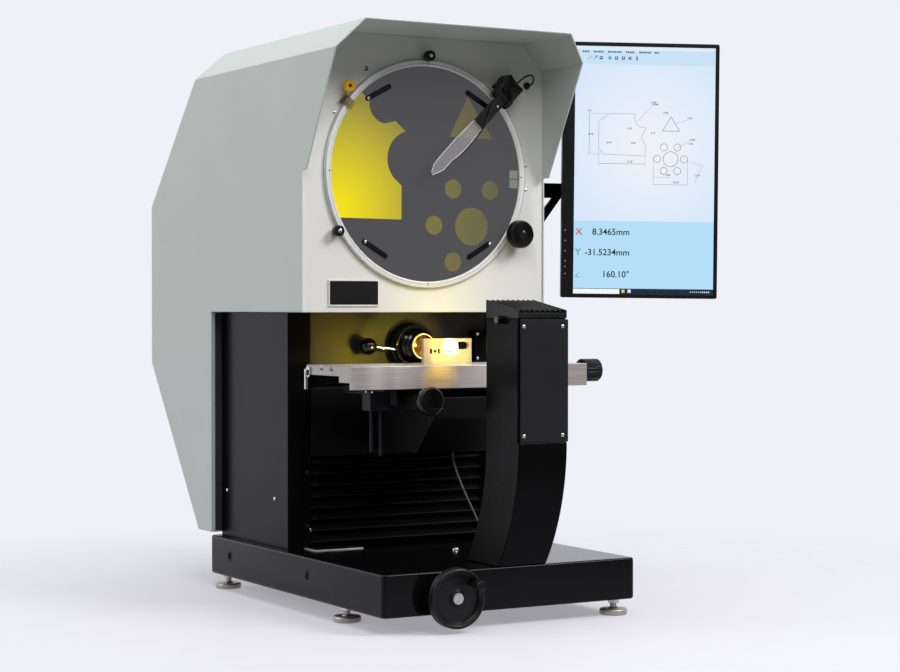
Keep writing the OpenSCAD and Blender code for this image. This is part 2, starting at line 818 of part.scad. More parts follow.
// Clear blade of the sensor, under the arm plate
module sensor_blade() {
  hinge = [sensor_l - 2, -30];
  color([0.85, 0.9, 0.92, 0.5]) on_screen(sensor_angle) translate([hinge[0], hinge[1], 0])
    front_profile(0, 3)
      polygon([[-20, -9], [-20, 9], [-120, 7], [-sensor_l + 8, 3], [2 - sensor_l, 0], [-sensor_l + 8, -3],
               [-150, -9], [-60, -11]]);
}

module sensor_cable() {
  color([0.05, 0.05, 0.05]) cord(sensor_cable_route, sensor_cable_r);
}

// Heads of the small screws, each seated on the face that it holds
module screws() {
  head_r = 3.5;
  head_h = 2;
  top_drop = 110.5;
  color([0.6, 0.6, 0.6]) {
    for (s = [-1, 1], z = [base_top + 42, base_top + 142, hood_bottom - top_drop])
      translate([s * (cabinet_gap_w / 2 + 6), cabinet_front - head_h, z]) rod_y(head_r, 0, head_h);
    for (s = [-1, 1], y = [cabinet_front + 58, cabinet_front + cabinet_d - 26])
      translate([s * (cabinet_w / 2 + head_h / 2), y, base_top + 90])
        rod_x(head_r, -head_h / 2, head_h / 2);
    for (x = [-1, 1], z = [lamp_bend_z + 12, lamp_head_z - 14])
      translate([axis_x + x * (lamp_w / 2 - 10), lamp_front - head_h, z])
        rod_y(head_r, 0, head_h);
    for (a = [[ring_r + 18, 124], [ring_r + 6.5, 151], [ring_r + 6.5, 6], [ring_r + 6.5, -6]])
      on_screen(a[1]) translate([a[0], -head_h, 0]) rod_y(head_r, 0, head_h);
    for (x = [-1, 1], z = [-1, 1])
      on_axis() translate([165 + x * 26, cabinet_front - 25 - head_h, -1 + z * 24]) rod_y(head_r, 0, head_h);
  }
}

// Flange of the lens on the wall
module lens_mount() {
  r = lens_mount_d / 2;
  bore = lens_barrel_d / 2;
  color([0.08, 0.08, 0.08]) on_axis() turned_y() polygon([
    [bore, cabinet_front - 15], [r - 3, cabinet_front - 15], [r, cabinet_front - 12],
    [r, cabinet_front], [bore, cabinet_front]
  ]);
}

module lens_barrel() {
  r0 = lens_front_d / 2;
  r2 = lens_barrel_d / 2;
  r1 = (r0 + r2) / 2;
  y0 = lens_back;
  bore = r0 - 5;
  color([0.05, 0.05, 0.05]) on_axis() turned_y() polygon([
    [r0 - 2, y0], [r0, y0 + 2], [r0, y0 + 9], [r0 - 2, y0 + 10], [r1, y0 + 13], [r1, y0 + 18],
    [r1 - 2, y0 + 19], [r2, y0 + 22], [r2, cabinet_front], [r2 - 4 - fit_gap, cabinet_front],
    [r2 - 4 - fit_gap, cabinet_front + 27], [bore, cabinet_front + 27], [bore, y0 + 4]
  ]);
}

module lens_glass() {
  bore = lens_front_d / 2 - 5;
  y0 = lens_back + 6;
  color([0.75, 0.5, 0.1, 0.6]) on_axis() turned_y() polygon([
    [0, y0], [bore * 0.5, y0 + 0.8], [bore * 0.8, y0 + 2], [bore, y0 + 3.5],
    [bore, y0 + 10], [0, y0 + 10]
  ]);
}

// Turned ball about the local Z axis
module ball(r) {
  step = 7.5;
  rotate_extrude() polygon([for (a = [-90 : step : 90]) r * [a * a < 8100 ? cos(a) : 0, sin(a)]]);
}

// Clamp ring of the lens with its lever and ball
module lens_lever() {
  bore = lens_barrel_d / 2 + fit_gap;
  y0 = cabinet_front - 31;
  y1 = cabinet_front - 16;
  mid = (y0 + y1) / 2;
  ring = bore + 7;
  rise = 6;
  color([0.06, 0.06, 0.06]) on_axis() {
    turned_y()
      polygon([[bore, y0], [ring - 1, y0], [ring, y0 + 1], [ring, y1 - 1], [ring - 1, y1], [bore, y1]]);
    translate([-lever_l, mid, 0]) rotate([0, rise, 0]) rod_x(2.5, 4, lever_l - ring + 3);
    translate([-lever_l, mid, 0]) rotate([0, 90 + rise, 0]) ball(lever_ball_d / 2);
  }
}

// Box of the surface illuminator beside the lens
module reflex_box() {
  w = 64;
  h = 58;
  color([0.06, 0.06, 0.055]) on_axis()
    block([165 - w / 2, cabinet_front - 25, -1 - h / 2], [165 + w / 2, cabinet_front, -1 + h / 2]);
}

// Knee: a cantilever with its deck, apron, carriage on the rods and the crank housing
module knee() {
  slope_y = knee_front_y + (knee_rear_h - knee_front_h);
  color([0.05, 0.05, 0.055]) difference() {
    union() {
      translate([axis_x, 0, 0]) side_profile(knee_w) polygon([
        [knee_front_y, knee_top - knee_front_h], [slope_y, knee_bottom], [carriage_y + past, knee_bottom],
        [carriage_y + past, knee_top], [knee_front_y, knee_top]
      ]);
      block([-cabinet_gap_w / 2 + apron_gap, apron_y, apron_bottom],
            [cabinet_gap_w / 2 - apron_gap, apron_y + apron_t, apron_top]);
      block([axis_x - carriage_w / 2, carriage_y, knee_bottom],
            [axis_x + carriage_w / 2, carriage_y + carriage_d, knee_top]);
      for (x = [-1, 1]) translate([axis_x + x * (knee_w / 2 - 22), 0, 0])
        block([-9, slide_front, knee_top - past], [9, slide_front + slide_d + 40, y_rail_top]);
      block([crank_x - crank_block_w / 2, crank_block_y, crank_z - 16],
            [axis_x - knee_w / 2 + past, crank_block_y + crank_block_d, crank_z + 10]);
    }
    for (x = [-guide_x, guide_x]) translate([axis_x + x, guide_y, 0])
      rod_z(guide_d / 2 + fit_gap, knee_bottom - past, knee_top + past);
    translate([-wheel_left, guide_y, 0])
      rod_z(lift_screw_d / 2 + fit_gap, knee_bottom - past, knee_top + past);
    translate([crank_x, 0, crank_z])
      rod_y(crank_screw_r + fit_gap, crank_block_y - past, crank_block_y + crank_block_d + past);
  }
}

// Focus slide: a plate with the rails of the table, the two nuts and the stop rods
module focus_slide() {
  x0 = axis_x - slide_left;
  lug_y = crank_block_y + crank_block_d + 28;
  stop_x = x0 + 0.5;
  color([0.07, 0.07, 0.075]) difference() {
    union() {
      block([x0, slide_front, slide_top - slide_t], [axis_x + slide_right, slide_front + slide_d, slide_top]);
      for (y = [slide_front + 21, slide_front + slide_d - 34])
        block([axis_x - x_rail_l / 2, y, slide_top - past],
              [axis_x + x_rail_l / 2, y + 20, slide_top + x_rail_h]);
      block([axis_x - 14, x_screw_y - 6.5, slide_top - past], [axis_x + 14, x_screw_y + 6.5, x_screw_z + 5]);
      block([crank_x - 12, lug_y, crank_z - 12], [crank_x + 12, lug_y + 25, slide_top - slide_t + past]);
      block([stop_x - 14, slide_front + 24, slide_top - slide_t - 34],
            [stop_x + 24, slide_front + 56, slide_top - slide_t + past]);
      for (x = [0, 19]) translate([stop_x - 4 + x, slide_front + 40, 0])
        rod_z(3, slide_top - slide_t - 108 - 0.45 * x, slide_top - slide_t);
    }
    translate([0, x_screw_y, x_screw_z]) rod_x(x_screw_r + fit_gap, axis_x - 20, axis_x + 20);
    translate([crank_x, 0, crank_z]) rod_y(crank_screw_r + fit_gap, lug_y - past, lug_y + 25 + past);
  }
}

// Focus crank: a disc with a small handle, and its screw
module focus_crank() {
  r = crank_d / 2;
  handle_at = [8, 16];
  color([0.05, 0.05, 0.055]) translate([crank_x, 0, crank_z]) {
    turned_y() polygon([
      [0, crank_front - crank_t], [r - 3, crank_front - crank_t], [r, crank_front - crank_t + 3],
      [r, crank_front - 2], [r - 2, crank_front], [crank_screw_r + 5, crank_front],
      [crank_screw_r + 5, crank_block_y - slide_gap], [crank_screw_r, crank_block_y - slide_gap],
      [crank_screw_r, crank_block_y + crank_block_d + 80], [0, crank_block_y + crank_block_d + 80]
    ]);
    translate([handle_at[0], 0, -handle_at[1]]) turned_y() polygon([
      [0, crank_front - crank_t - 22], [4, crank_front - crank_t - 22], [5, crank_front - crank_t - 20],
      [4, crank_front - crank_t - 8], [3, crank_front - crank_t], [0, crank_front - crank_t]
    ]);
  }
}

// Work table: a ground plate with a deep front lip, clamping slots and the channel of its screw
module table() {
  x0 = axis_x - table_l / 2;
  x1 = axis_x + table_l / 2;
  front = -table_reach;
  rear = front + table_d;
  slot_in = 78.5;
  slot_pitch = 40;
  slot_y = front + slot_in;
  block_d = slide_inset + 19;
  block_h = 29;
  end_wall = 15;
  color([0.78, 0.78, 0.77]) difference() {
    translate([axis_x, 0, 0]) side_profile(table_l) polygon([
      [front, table_z - lip_h], [front + lip_t, table_z - lip_h], [front + lip_t, table_z - block_h],
      [front + block_d, table_z - block_h], [front + block_d, table_z - table_t],
      [rear, table_z - table_t], [rear, table_z], [front, table_z]
    ]);
    for (y = [slot_y, slot_y + slot_pitch]) {
      block([x0 - past, y - 4, table_z - 6], [x1 + past, y + 4, table_z + past]);
      block([x0 - past, y - 7, table_z - 11], [x1 + past, y + 7, table_z - 6]);
    }
    block([x0 + 40, x_screw_y - groove_w / 2, table_z - block_h - past],
          [x1 - end_wall, x_screw_y + groove_w / 2, table_z - table_t + groove_h]);
    translate([0, x_screw_y, x_screw_z]) rod_x(x_screw_r + fit_gap, x1 - end_wall - past, x1 + past);
  }
}

// Cross travel knob with its fluted rim, on the screw under the table
module x_knob() {
  r = x_knob_d / 2;
  x0 = axis_x + table_l / 2 + 3;
  flutes = 12;
  neck_r = 11;
  neck_l = 7;
  knob_l = 45;
  screw_start = axis_x - table_l / 2 + 60;
  color([0.05, 0.05, 0.05]) translate([0, x_screw_y, x_screw_z]) {
    difference() {
      translate([x0, 0, 0]) rotate([0, 90, 0]) rotate_extrude() polygon([
        [0, 0], [neck_r, 0], [neck_r, neck_l], [r - 2, neck_l], [r, neck_l + 2], [r, knob_l - 2],
        [r - 2, knob_l], [r - 6, knob_l], [r - 7, knob_l - 1], [0, knob_l - 1]
      ]);
      for (i = [0 : flutes - 1]) rotate([i * 360 / flutes, 0, 0]) translate([0, 0, r + 1])
        rod_x(3, x0 + neck_l + 3, x0 + knob_l + past);
    }
    rod_x(x_screw_r, screw_start, x0 + past);
  }
}

// Setting plate with a triangle, a ring of holes and a profiled end
module test_plate() {
  plate_left = 55;
  plate_in = 93;
  x0 = axis_x - plate_left;
  y1 = plate_in - table_reach;
  t = 8;
  hole_ring = 9;
  color([0.75, 0.6, 0.2]) front_profile(y1 - t, y1) difference() {
    translate([x0, table_z]) square([plate_w, plate_h]);
    translate([axis_x, axis_z + 8]) circle(4, $fn = 3);
    translate([axis_x, axis_z - 8]) circle(2.6);
    for (a = [0 : 60 : 300])
      translate([axis_x + hole_ring * cos(a), axis_z - 8 + hole_ring * sin(a)]) circle(1.6);
    translate([axis_x + 18, axis_z - 4]) square([16, 14]);
    translate([axis_x + 34, axis_z + 3]) circle(7);
  }
}

module stage_cable() {
  color([0.4, 0.4, 0.4]) cord(stage_cable_route, stage_cable_r);
}

// Handwheel of the lift: a dished wheel with a round rim and a hub
module handwheel() {
  r = wheel_d / 2;
  f = -wheel_front;
  b = -base_reach - wheel_gap;
  web = f + 9;
  color([0.05, 0.05, 0.055]) translate([-wheel_left, 0, wheel_z]) difference() {
    turned_y() polygon([
      [wheel_shaft_r, f + 5], [13, f + 5], [14, f + 6], [15, web], [r - 12, web + 1], [r - 11, f + 5],
      [r - 8, f + 3], [r - 7, f + 1], [r - 4, f], [r - 1.5, f + 1], [r, f + 3], [r, f + 8], [r - 1, f + 9],
      [r - 1, f + 11], [r, f + 12], [r, f + 18], [r - 1.5, f + 20.5], [r - 4, b], [r - 9, b],
      [r - 11, web + 9], [r - 12, web + 6], [20, web + 6], [16, b], [wheel_shaft_r, b]
    ]);
    rotate([0, -grip_angle, 0]) translate([grip_r, 0, 0]) rod_y(grip_pin_r + fit_gap, f - past, b + past);
  }
}

// Lift shaft with its end cap in the wheel and the miter gear inside the base
module lift_shaft() {
  f = -wheel_front;
  color([0.75, 0.75, 0.75]) translate([-wheel_left, 0, wheel_z]) {
    turned_y() polygon([
      [0, f + 3.5], [9.5, f + 3.5], [10, f + 4], [10, f + 5], [wheel_shaft_r, f + 5],
      [wheel_shaft_r, guide_y - gear_r - gear_face], [0, guide_y - gear_r - gear_face]
    ]);
    translate([0, guide_y, 0]) rotate([-90, 0, 0]) miter_gear(0);
  }
}

// Straight miter gear whose cone points at the local origin from below, with radial tooth flanks
module miter_gear(turn) {
  outer = gear_r + gear_tooth_h / 2;
  pitch = 360 / gear_teeth;
  tooth = pitch * 0.36;
  back = -gear_r - gear_face;
  module cone(shift) {
    rotate_extrude() polygon([
      [0, back], [gear_r + shift - 2, back], [gear_r + shift, back + gear_face - shift],
      [gear_r + shift - gear_face, back + 2 * gear_face - shift], [0, back + 2 * gear_face - shift]
    ]);
  }
  rotate([0, 0, turn]) {
    cone(-gear_tooth_h / 2 - 1);
    intersection() {
      cone(gear_tooth_h / 2 - 0.6);
      for (i = [0 : gear_teeth - 1]) rotate([0, 0, i * pitch]) translate([0, 0, back])
        linear_extrude(2 * gear_face) polygon([
          [0, 0], 2 * outer * [cos(tooth / 2), -sin(tooth / 2)], 2 * outer * [cos(tooth / 2), sin(tooth / 2)]
        ]);
    }
  }
}

module wheel_grip() {
  f = -wheel_front;
  color([0.05, 0.05, 0.055]) translate([-wheel_left, 0, wheel_z]) rotate([0, -grip_angle, 0])
    translate([grip_r, 0, 0]) turned_y() polygon([
      [0, f - grip_l + 2], [1.5, f - grip_l + 2], [1.5, f - grip_l], [4, f - grip_l], [4, f - grip_l + 1.5],
      [6.5, f - grip_l + 1.5], [6.5, f - grip_l], [8, f - grip_l], [9, f - grip_l + 2], [9, f - grip_l + 8],
      [8, f - 10], [7, f - 2], [6, f - slide_gap], [grip_pin_r, f - slide_gap],
      [grip_pin_r, -base_reach - wheel_gap + 3],
      [0, -base_reach - wheel_gap + 3]
    ]);
}

// Upright lift screw with its miter gear
module lead_screw() {
  color([0.65, 0.65, 0.66]) translate([-wheel_left, guide_y, 0]) {
    rod_z(lift_screw_d / 2, wheel_z + gear_r, screw_top);
    translate([0, 0, wheel_z]) mirror([0, 0, 1]) miter_gear(180 / gear_teeth);
  }
}

// Side outline of the lamp arm: an upright head on a foot swept back in two arcs
module lamp_outline() {
  r_front = bend_r(lamp_overhang, lamp_curve_h);
  r_rear = bend_r(lamp_foot_rear - lamp_rear, lamp_curve_h);
  difference() {
    intersection() {
      translate([lamp_front + r_front, lamp_bend_z]) circle(r_front, $fn = 240);
      translate([lamp_front, base_top]) square([lamp_foot_rear - lamp_front, lamp_curve_h]);
    }
    translate([lamp_rear + r_rear, lamp_bend_z]) circle(r_rear, $fn = 240);
  }
  polygon([
    [lamp_body_front, lamp_bend_z], [lamp_rear, lamp_bend_z], [lamp_rear, lamp_head_z],
    [lamp_body_front, lamp_head_z]
  ]);
}

// Lamp arm: hollow head for the lamp, with the beam opening to the rear
module lamp_arm() {
  w = lamp_w - 2 * lamp_wall;
  color([0.07, 0.07, 0.075]) translate([axis_x, 0, 0]) difference() {
    side_profile(lamp_w) lamp_outline();
    block([-w / 2, lamp_body_front - past, lamp_bend_z + 12],
          [w / 2, lamp_rear - lamp_wall, lamp_head_z - lamp_wall]);
    translate([0, 0, axis_z]) rod_y(beam_r, lamp_rear - lamp_wall - past, lamp_rear + past);
    translate([0, (lamp_front + lamp_rear) / 2, lamp_head_z - lamp_wall / 2])
      rod_x(3 + fit_gap, -lamp_w / 2 - past, -lamp_w / 2 + lamp_wall + past);
  }
}

module lamp_cover() {
  color([0.06, 0.06, 0.065])
    block([axis_x - lamp_w / 2 + 4, lamp_front, lamp_bend_z],
          [axis_x + lamp_w / 2 + 2, lamp_body_front, lamp_head_z - 2]);
}

// Heat sink on the lamp head: a wedge with ribs along its slope
module heat_sink() {
  rib_t = 4;
  front = lamp_front + 2;
  low = lamp_head_z + sink_t;
  high = low + lamp_top_fall;
  pitch = (lamp_w - rib_t) / (rib_n - 1);
  color([0.05, 0.05, 0.055]) translate([axis_x, 0, 0]) {
    side_profile(lamp_w)
      polygon([[front, lamp_head_z], [lamp_rear, lamp_head_z], [lamp_rear, high], [front, low]]);
    for (i = [0 : rib_n - 1]) translate([i * pitch - (lamp_w - rib_t) / 2, 0, 0]) side_profile(rib_t)
      polygon([[front, low - past], [lamp_rear, high - past],
               [lamp_rear, high + rib_h], [front, low + rib_h]]);
  }
}

// Lamp: a board on its bracket, with the round emitter
module led_module() {
  w = lamp_w - 2 * lamp_wall;
  y = lamp_body_front + 12;
  color([0.3, 0.32, 0.3]) {
    block([axis_x - w / 2, y, axis_z - 30], [axis_x + w / 2, y + 6, axis_z + 30]);
    on_axis() rod_y(9, y + 5, y + 16);
  }
}

module condenser() {
  color([0.9, 0.85, 0.5, 0.6]) on_axis() turned_y() polygon([
    [0, lamp_rear - 8], [beam_r - 6, lamp_rear - 7], [beam_r, lamp_rear - 5], [beam_r, lamp_rear - 0.5],
    [0, lamp_rear - 0.5]
  ]);
}

module lamp_thumb_screw() {
  color([0.05, 0.05, 0.05])
    translate([axis_x - lamp_w / 2, (lamp_front + lamp_rear) / 2, lamp_head_z - lamp_wall / 2])
      rotate([0, 90, 0]) rotate_extrude() polygon([
        [0, -13], [6, -13], [7.5, -11.5], [7.5, -3], [6, -2], [4, -slide_gap], [3, -slide_gap],
        [3, lamp_wall], [0, lamp_wall]
      ]);
}

// Wall bracket of the display arm with its two lugs, brace and pin
module monitor_bracket() {
  x0 = hood_w / 2;
  half = knuckle_h / 2 + slide_gap;
  color([0.05, 0.05, 0.055]) {
    block([x0, post_y - 45, arm_z - 90], [x0 + 6, post_y + 45, arm_z + 50]);
    for (z = [-half - lug_t, half]) translate([0, post_y, arm_z + z]) {
      translate([post_point[0], 0, 0]) cylinder(r = knuckle_r, h = lug_t);
      block([x0, -knuckle_r, 0], [post_point[0], knuckle_r, lug_t]);
    }
    translate([post_point[0], post_y, arm_z]) rod_z(arm_pin_r, -half - past, half + past);
    front_profile(post_y - 5, post_y + 5)
      polygon([[x0 + 3, arm_z - 85], [post_point[0], arm_z - half - lug_t + past],
               [x0 + 3, arm_z - half - lug_t + past]]);
  }
}

// Swing arm: a bar between two knuckles
module swing_arm() {
  reach = pan_point - post_point;
  l = norm(reach);
  half = knuckle_h / 2;
  brace_in = knuckle_r + 6;
  brace_out = 92;
  brace_h = 96;
  color([0.05, 0.05, 0.055]) translate([post_point[0], post_point[1], arm_z])
    rotate([0, 0, atan2(reach[1], reach[0])]) difference() {
      union() {
        for (x = [0, l]) translate([x, 0, 0]) rod_z(knuckle_r, -half, half);
        block([0, -13, -arm_h / 2], [l, 13, arm_h / 2]);
        front_profile(-8, 8) difference() {
          polygon([[brace_in, -arm_h / 2 + past], [brace_out, -arm_h / 2 + past],
                   [brace_in + 10, -brace_h], [brace_in, -brace_h]]);
          polygon([[brace_in + 8, -arm_h / 2 - 4], [brace_out - 22, -arm_h / 2 - 4],
                   [brace_in + 8, -brace_h + 28]]);
        }
      }
      for (x = [0, l]) translate([x, 0, 0]) rod_z(arm_pin_r + fit_gap, -half - past, half + past);
    }
}

// Head of the arm: turns on the arm and carries the tilt barrel
module arm_head() {
  half = knuckle_h / 2 + slide_gap;
  drop = arm_z - display_z;
  block_y = pan_back - knuckle_r - 3;
  color([0.05, 0.05, 0.055]) display_frame() difference() {
    union() {
      for (z = [drop - half - lug_t, drop + half]) {
        translate([0, pan_back, z]) cylinder(r = knuckle_r, h = lug_t);
        block([-knuckle_r, block_y - 8, z], [knuckle_r, pan_back, z + lug_t]);
      }
      translate([0, pan_back, 0]) rod_z(arm_pin_r, drop - half - past, drop + half + past);
      block([-knuckle_r, block_y - 8, drop - half - lug_t], [knuckle_r, block_y, tilt_r]);
      block([-knuckle_r, tilt_back, -tilt_r], [knuckle_r, block_y, tilt_r]);
      translate([0, tilt_back, 0]) rod_x(tilt_r, -20, 20);
    }
    translate([0, tilt_back, 0]) rod_x(tilt_pin_r + fit_gap, -20 - past, 20 + past);
  }
}

// Mounting plate of the display with its two ears and tilt pin
module vesa_plate() {
  y0 = display_t / 2;
  color([0.06, 0.06, 0.065]) display_frame() {
    block([-vesa / 2 - 8, y0, -vesa / 2 - 8], [vesa / 2 + 8, y0 + vesa_t, vesa / 2 + 8]);
    for (s = [-1, 1]) {
      x0 = s > 0 ? 20 + slide_gap : -30;
      x1 = s > 0 ? 30 : -20 - slide_gap;
      block([x0, y0 + vesa_t - past, -tilt_r], [x1, tilt_back, tilt_r]);
      translate([0, tilt_back, 0]) rod_x(tilt_r, x0, x1);
    }
    translate([0, tilt_back, 0]) rod_x(tilt_pin_r, -25, 25);
  }
}

// Opening of the display bezel, narrower by the gap g on each side
module display_window(g) {
  translate([bezel_side_w + g - display_w / 2, bezel_w + g - display_h / 2])
    square([display_w - bezel_side_w - bezel_w - 2 * g, display_h - 2 * bezel_w - 2 * g]);
}

// Display casing with a shallow recess for the screen, and a thinner rear bulge
module monitor_shell() {
  t = display_t;
  r = 4;
  color([0.04, 0.04, 0.045]) display_frame() rotate([0, display_skew, 0]) difference() {
    union() {
      front_profile(-t / 2, t / 2 - 12) round_rect(display_w, display_h, r);
      front_profile(t / 2 - 13, t / 2) round_rect(display_w - 60, display_h - 90, r * 3);
    }
    front_profile(-t / 2 - past, -t / 2 + screen_recess) display_window(0);
  }
}

module monitor_screen() {
  color([0.8, 0.88, 0.95]) display_frame() rotate([0, display_skew, 0])
    front_profile(-display_t / 2 + 1, -display_t / 2 + screen_recess) display_window(slide_gap / 2);
}

base();
foot(0);  // foot_fl
foot(1);  // foot_fr
foot(2);  // foot_rl
foot(3);  // foot_rr
foot_locknuts();
cabinet_panel(-1);  // cabinet_left
cabinet_panel(1);  // cabinet_right
lens_wall();
inner_frame();
guide_rods();
upper_bellows();
lower_bellows();
hood();
screen_panel();
mirrors();
screen_ring();
screen_glass();
chart_clip(0);  // chart_clip_a
chart_clip(1);  // chart_clip_b
chart_clip(2);  // chart_clip_c
chart_clip(3);  // chart_clip_d
roller(roller_angles[0]);  // roller_top
roller(roller_angles[1]);  // roller_left
drive_knob();
clamp_knob();
vernier_plate();
sensor_bracket();
sensor_arm();
sensor_blade();
sensor_cable();
screws();
lens_mount();
lens_barrel();
lens_glass();
lens_lever();
reflex_box();
knee();
focus_slide();
focus_crank();
table();
x_knob();
test_plate();
stage_cable();
handwheel();
lift_shaft();
wheel_grip();
lead_screw();
lamp_arm();
lamp_cover();
heat_sink();
led_module();
condenser();
lamp_thumb_screw();
monitor_bracket();
swing_arm();
arm_head();
vesa_plate();
monitor_shell();
monitor_screen();
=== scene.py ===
import json
import math

import bmesh
import bpy
from mathutils import Matrix, Vector


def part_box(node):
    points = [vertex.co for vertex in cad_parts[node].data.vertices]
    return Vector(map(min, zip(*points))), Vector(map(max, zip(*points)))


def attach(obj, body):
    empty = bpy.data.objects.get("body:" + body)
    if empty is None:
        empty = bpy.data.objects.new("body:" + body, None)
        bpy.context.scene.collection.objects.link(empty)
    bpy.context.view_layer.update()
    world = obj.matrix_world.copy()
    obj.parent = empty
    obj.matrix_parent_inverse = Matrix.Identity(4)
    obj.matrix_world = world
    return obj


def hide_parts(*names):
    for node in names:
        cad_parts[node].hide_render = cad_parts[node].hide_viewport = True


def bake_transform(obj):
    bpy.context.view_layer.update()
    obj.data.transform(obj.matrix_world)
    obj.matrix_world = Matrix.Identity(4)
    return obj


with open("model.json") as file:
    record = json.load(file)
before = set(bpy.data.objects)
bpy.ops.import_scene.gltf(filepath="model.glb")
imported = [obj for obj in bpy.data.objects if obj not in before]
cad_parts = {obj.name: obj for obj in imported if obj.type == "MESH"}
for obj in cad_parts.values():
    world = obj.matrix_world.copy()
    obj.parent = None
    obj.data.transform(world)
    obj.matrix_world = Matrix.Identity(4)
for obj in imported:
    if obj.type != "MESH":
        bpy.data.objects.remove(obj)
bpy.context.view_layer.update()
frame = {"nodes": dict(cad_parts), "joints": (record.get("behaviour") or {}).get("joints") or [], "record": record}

MM = 0.001
SCENE = bpy.context.scene
NODES = frame["nodes"]
RECORD = frame["record"]
BODY_OF = {n: b for b, names in RECORD["behaviour"]["bodies"].items() for n in names}
SLOT_OF = {s["node"]: s["material_slot"] for s in RECORD["subparts"]}

# Sizes in millimetres, in the frame of the CAD model.
SCREEN_Z = 801.5
SCREEN_R = 200.0
RING_R = 212.6
RING_FRONT = 7.0
GLASS_FRONT = 4.0
BASE_TOP = 104.0
APRON_TOP = 403.4
APRON_BOTTOM = 274.4
WALL_Z = 430.0
AXIS_X = 18.0
AXIS_Z = 480.0
DISPLAY_CENTRE = Vector((475.5, -10.0, 822.0))
DISPLAY_TURN = math.radians(-25)
DISPLAY_SKEW = math.radians(0.6)
DISPLAY_FRONT = 15.0
BASE_HALF_W = 256.5
ROLLER_CIRCLE_R = 218.75

FORWARD = (0, -1, 0)
LEFT = (-1, 0, 0)
UP = (0, 0, 1)

WELD = 2e-6  # metres between corners that are one corner
BEVEL_ANGLE = math.radians(35)
CAP_HEIGHT = 0.73  # of the font's size
MIX_COLOURS = (6, 7)  # the Mix node's sockets for colours
MIX_RESULT = 2


def srgb(r, g, b):
    """A colour as it shows on a screen, 0 to 255, in linear light."""
    return tuple(c / 255 / 12.92 if c <= 10 else ((c / 255 + 0.055) / 1.055) ** 2.4 for c in (r, g, b))


# Camera


def make_camera():
    data = bpy.data.cameras.new("camera")
    data.sensor_width = 36.0
    data.lens = 84.02
    data.clip_start = 0.05
    data.clip_end = 100.0
    camera = bpy.data.objects.new("camera", data)
    camera.location = (-1.9076, -3.4205, 0.5548)
    camera.rotation_euler = (math.radians(89.2), 0.0, math.radians(-29.8))
    SCENE.collection.objects.link(camera)
    SCENE.camera = camera


# Materials


def feed(tree, socket, value):
    """Links a socket to another one, or sets its value."""
    if isinstance(value, bpy.types.NodeSocket):
        tree.links.new(value, socket)
    else:
        socket.default_value = value


def add_node(tree, kind, *values, **named):
    """A shader node with its first inputs, and inputs by name, filled in."""
    made = tree.nodes.new(kind)
    for socket, value in zip(made.inputs, values):
        feed(tree, socket, value)
    for name, value in named.items():
        feed(tree, made.inputs[name], value)
    return made


def span(tree, value, low, high, start, end):
    """A value that runs from low to high while another runs from start to end."""
    limits = {"From Min": start, "From Max": end, "To Min": low, "To Max": high}
    return add_node(tree, "ShaderNodeMapRange", Value=value, **limits).outputs[0]


def combine(tree, operation, a, b):
    made = add_node(tree, "ShaderNodeMath", a, b)
    made.operation = operation
    return made.outputs[0]


F = {}  # every finish, by its name


class Finish:
    """One procedural material: a Principled shader and the nodes that vary it over the surface."""

    def __init__(self, name, colour, rough, metal=0.0, sheen=0.5):
        self.material = bpy.data.materials.new(name)
        self.material.use_nodes = True
        self.tree = self.material.node_tree
        self.shader = self.tree.nodes["Principled BSDF"]
        self.where = self.node("ShaderNodeTexCoord").outputs["Object"]
        self.colour = colour
        self.rough = rough
        self.put("Base Color", (*colour, 1.0))
        self.put("Roughness", rough)
        self.put("Metallic", metal)
        self.put("Specular IOR Level", sheen)
        F[name] = self

    def node(self, kind, *values, **named):
        return add_node(self.tree, kind, *values, **named)

    def put(self, name, value):
        feed(self.tree, self.shader.inputs[name], value)
        return self

    def noise(self, scale, detail=2.0, stretch=(1, 1, 1)):
        at = self.node("ShaderNodeMapping", Vector=self.where, Scale=stretch).outputs[0]
        return self.node("ShaderNodeTexNoise", Vector=at, Scale=scale, Detail=detail).outputs[0]

    def span(self, value, low, high, start=0.3, end=0.7):
        """Start and end, if not given, suit noise."""
        return span(self.tree, value, low, high, start, end)

    def mix(self, share, a, b):
        made = self.node("ShaderNodeMix", share)
        made.data_type = "RGBA"
        for index, colour in zip(MIX_COLOURS, (a, b)):
            made.inputs[index].default_value = (*colour, 1.0)
        return made.outputs[MIX_RESULT]

    def away(self, point, near, far):
        """0 within near of a point and 1 beyond far, all in millimetres."""
        made = self.node("ShaderNodeVectorMath", Vector=self.where)
        made.operation = "DISTANCE"
        made.inputs[1].default_value = point * MM
        return self.span(made.outputs["Value"], 0.0, 1.0, near * MM, far * MM)

    def mottle(self, scale, spread, detail=3.0, stretch=(1, 1, 1)):
        """The colour wanders a little about its mean."""
        low, high = (tuple(c * k for c in self.colour) for k in (1 - spread, 1 + spread))
        share = self.span(self.noise(scale, detail, stretch), 0, 1)
        return self.put("Base Color", self.mix(share, low, high))

    def uneven(self, scale, spread, stretch=(1, 1, 1)):
        """The gloss wanders a little about its mean."""
        wander = self.noise(scale, 2.0, stretch)
        return self.put("Roughness", self.span(wander, self.rough - spread, self.rough + spread))

    def grain(self, scale, height, stretch=(1, 1, 1), detail=2.0):
        """Fine relief, height in millimetres."""
        made = self.node("ShaderNodeBump", Height=self.noise(scale, detail, stretch), Distance=height * MM)
        return self.put("Normal", made.outputs[0])

    def glow(self, colour, strength):
        value = colour if isinstance(colour, bpy.types.NodeSocket) else (*colour, 1.0)
        return self.put("Emission Color", value).put("Emission Strength", strength)


def painted(name, colour, rough, sheen, texture, height, spread=0.08):
    """Paint: slightly uneven in colour and gloss, with the skin of its texture."""
    return Finish(name, colour, rough, 0.0, sheen).mottle(9, spread).uneven(40, 0.02).grain(texture, height)


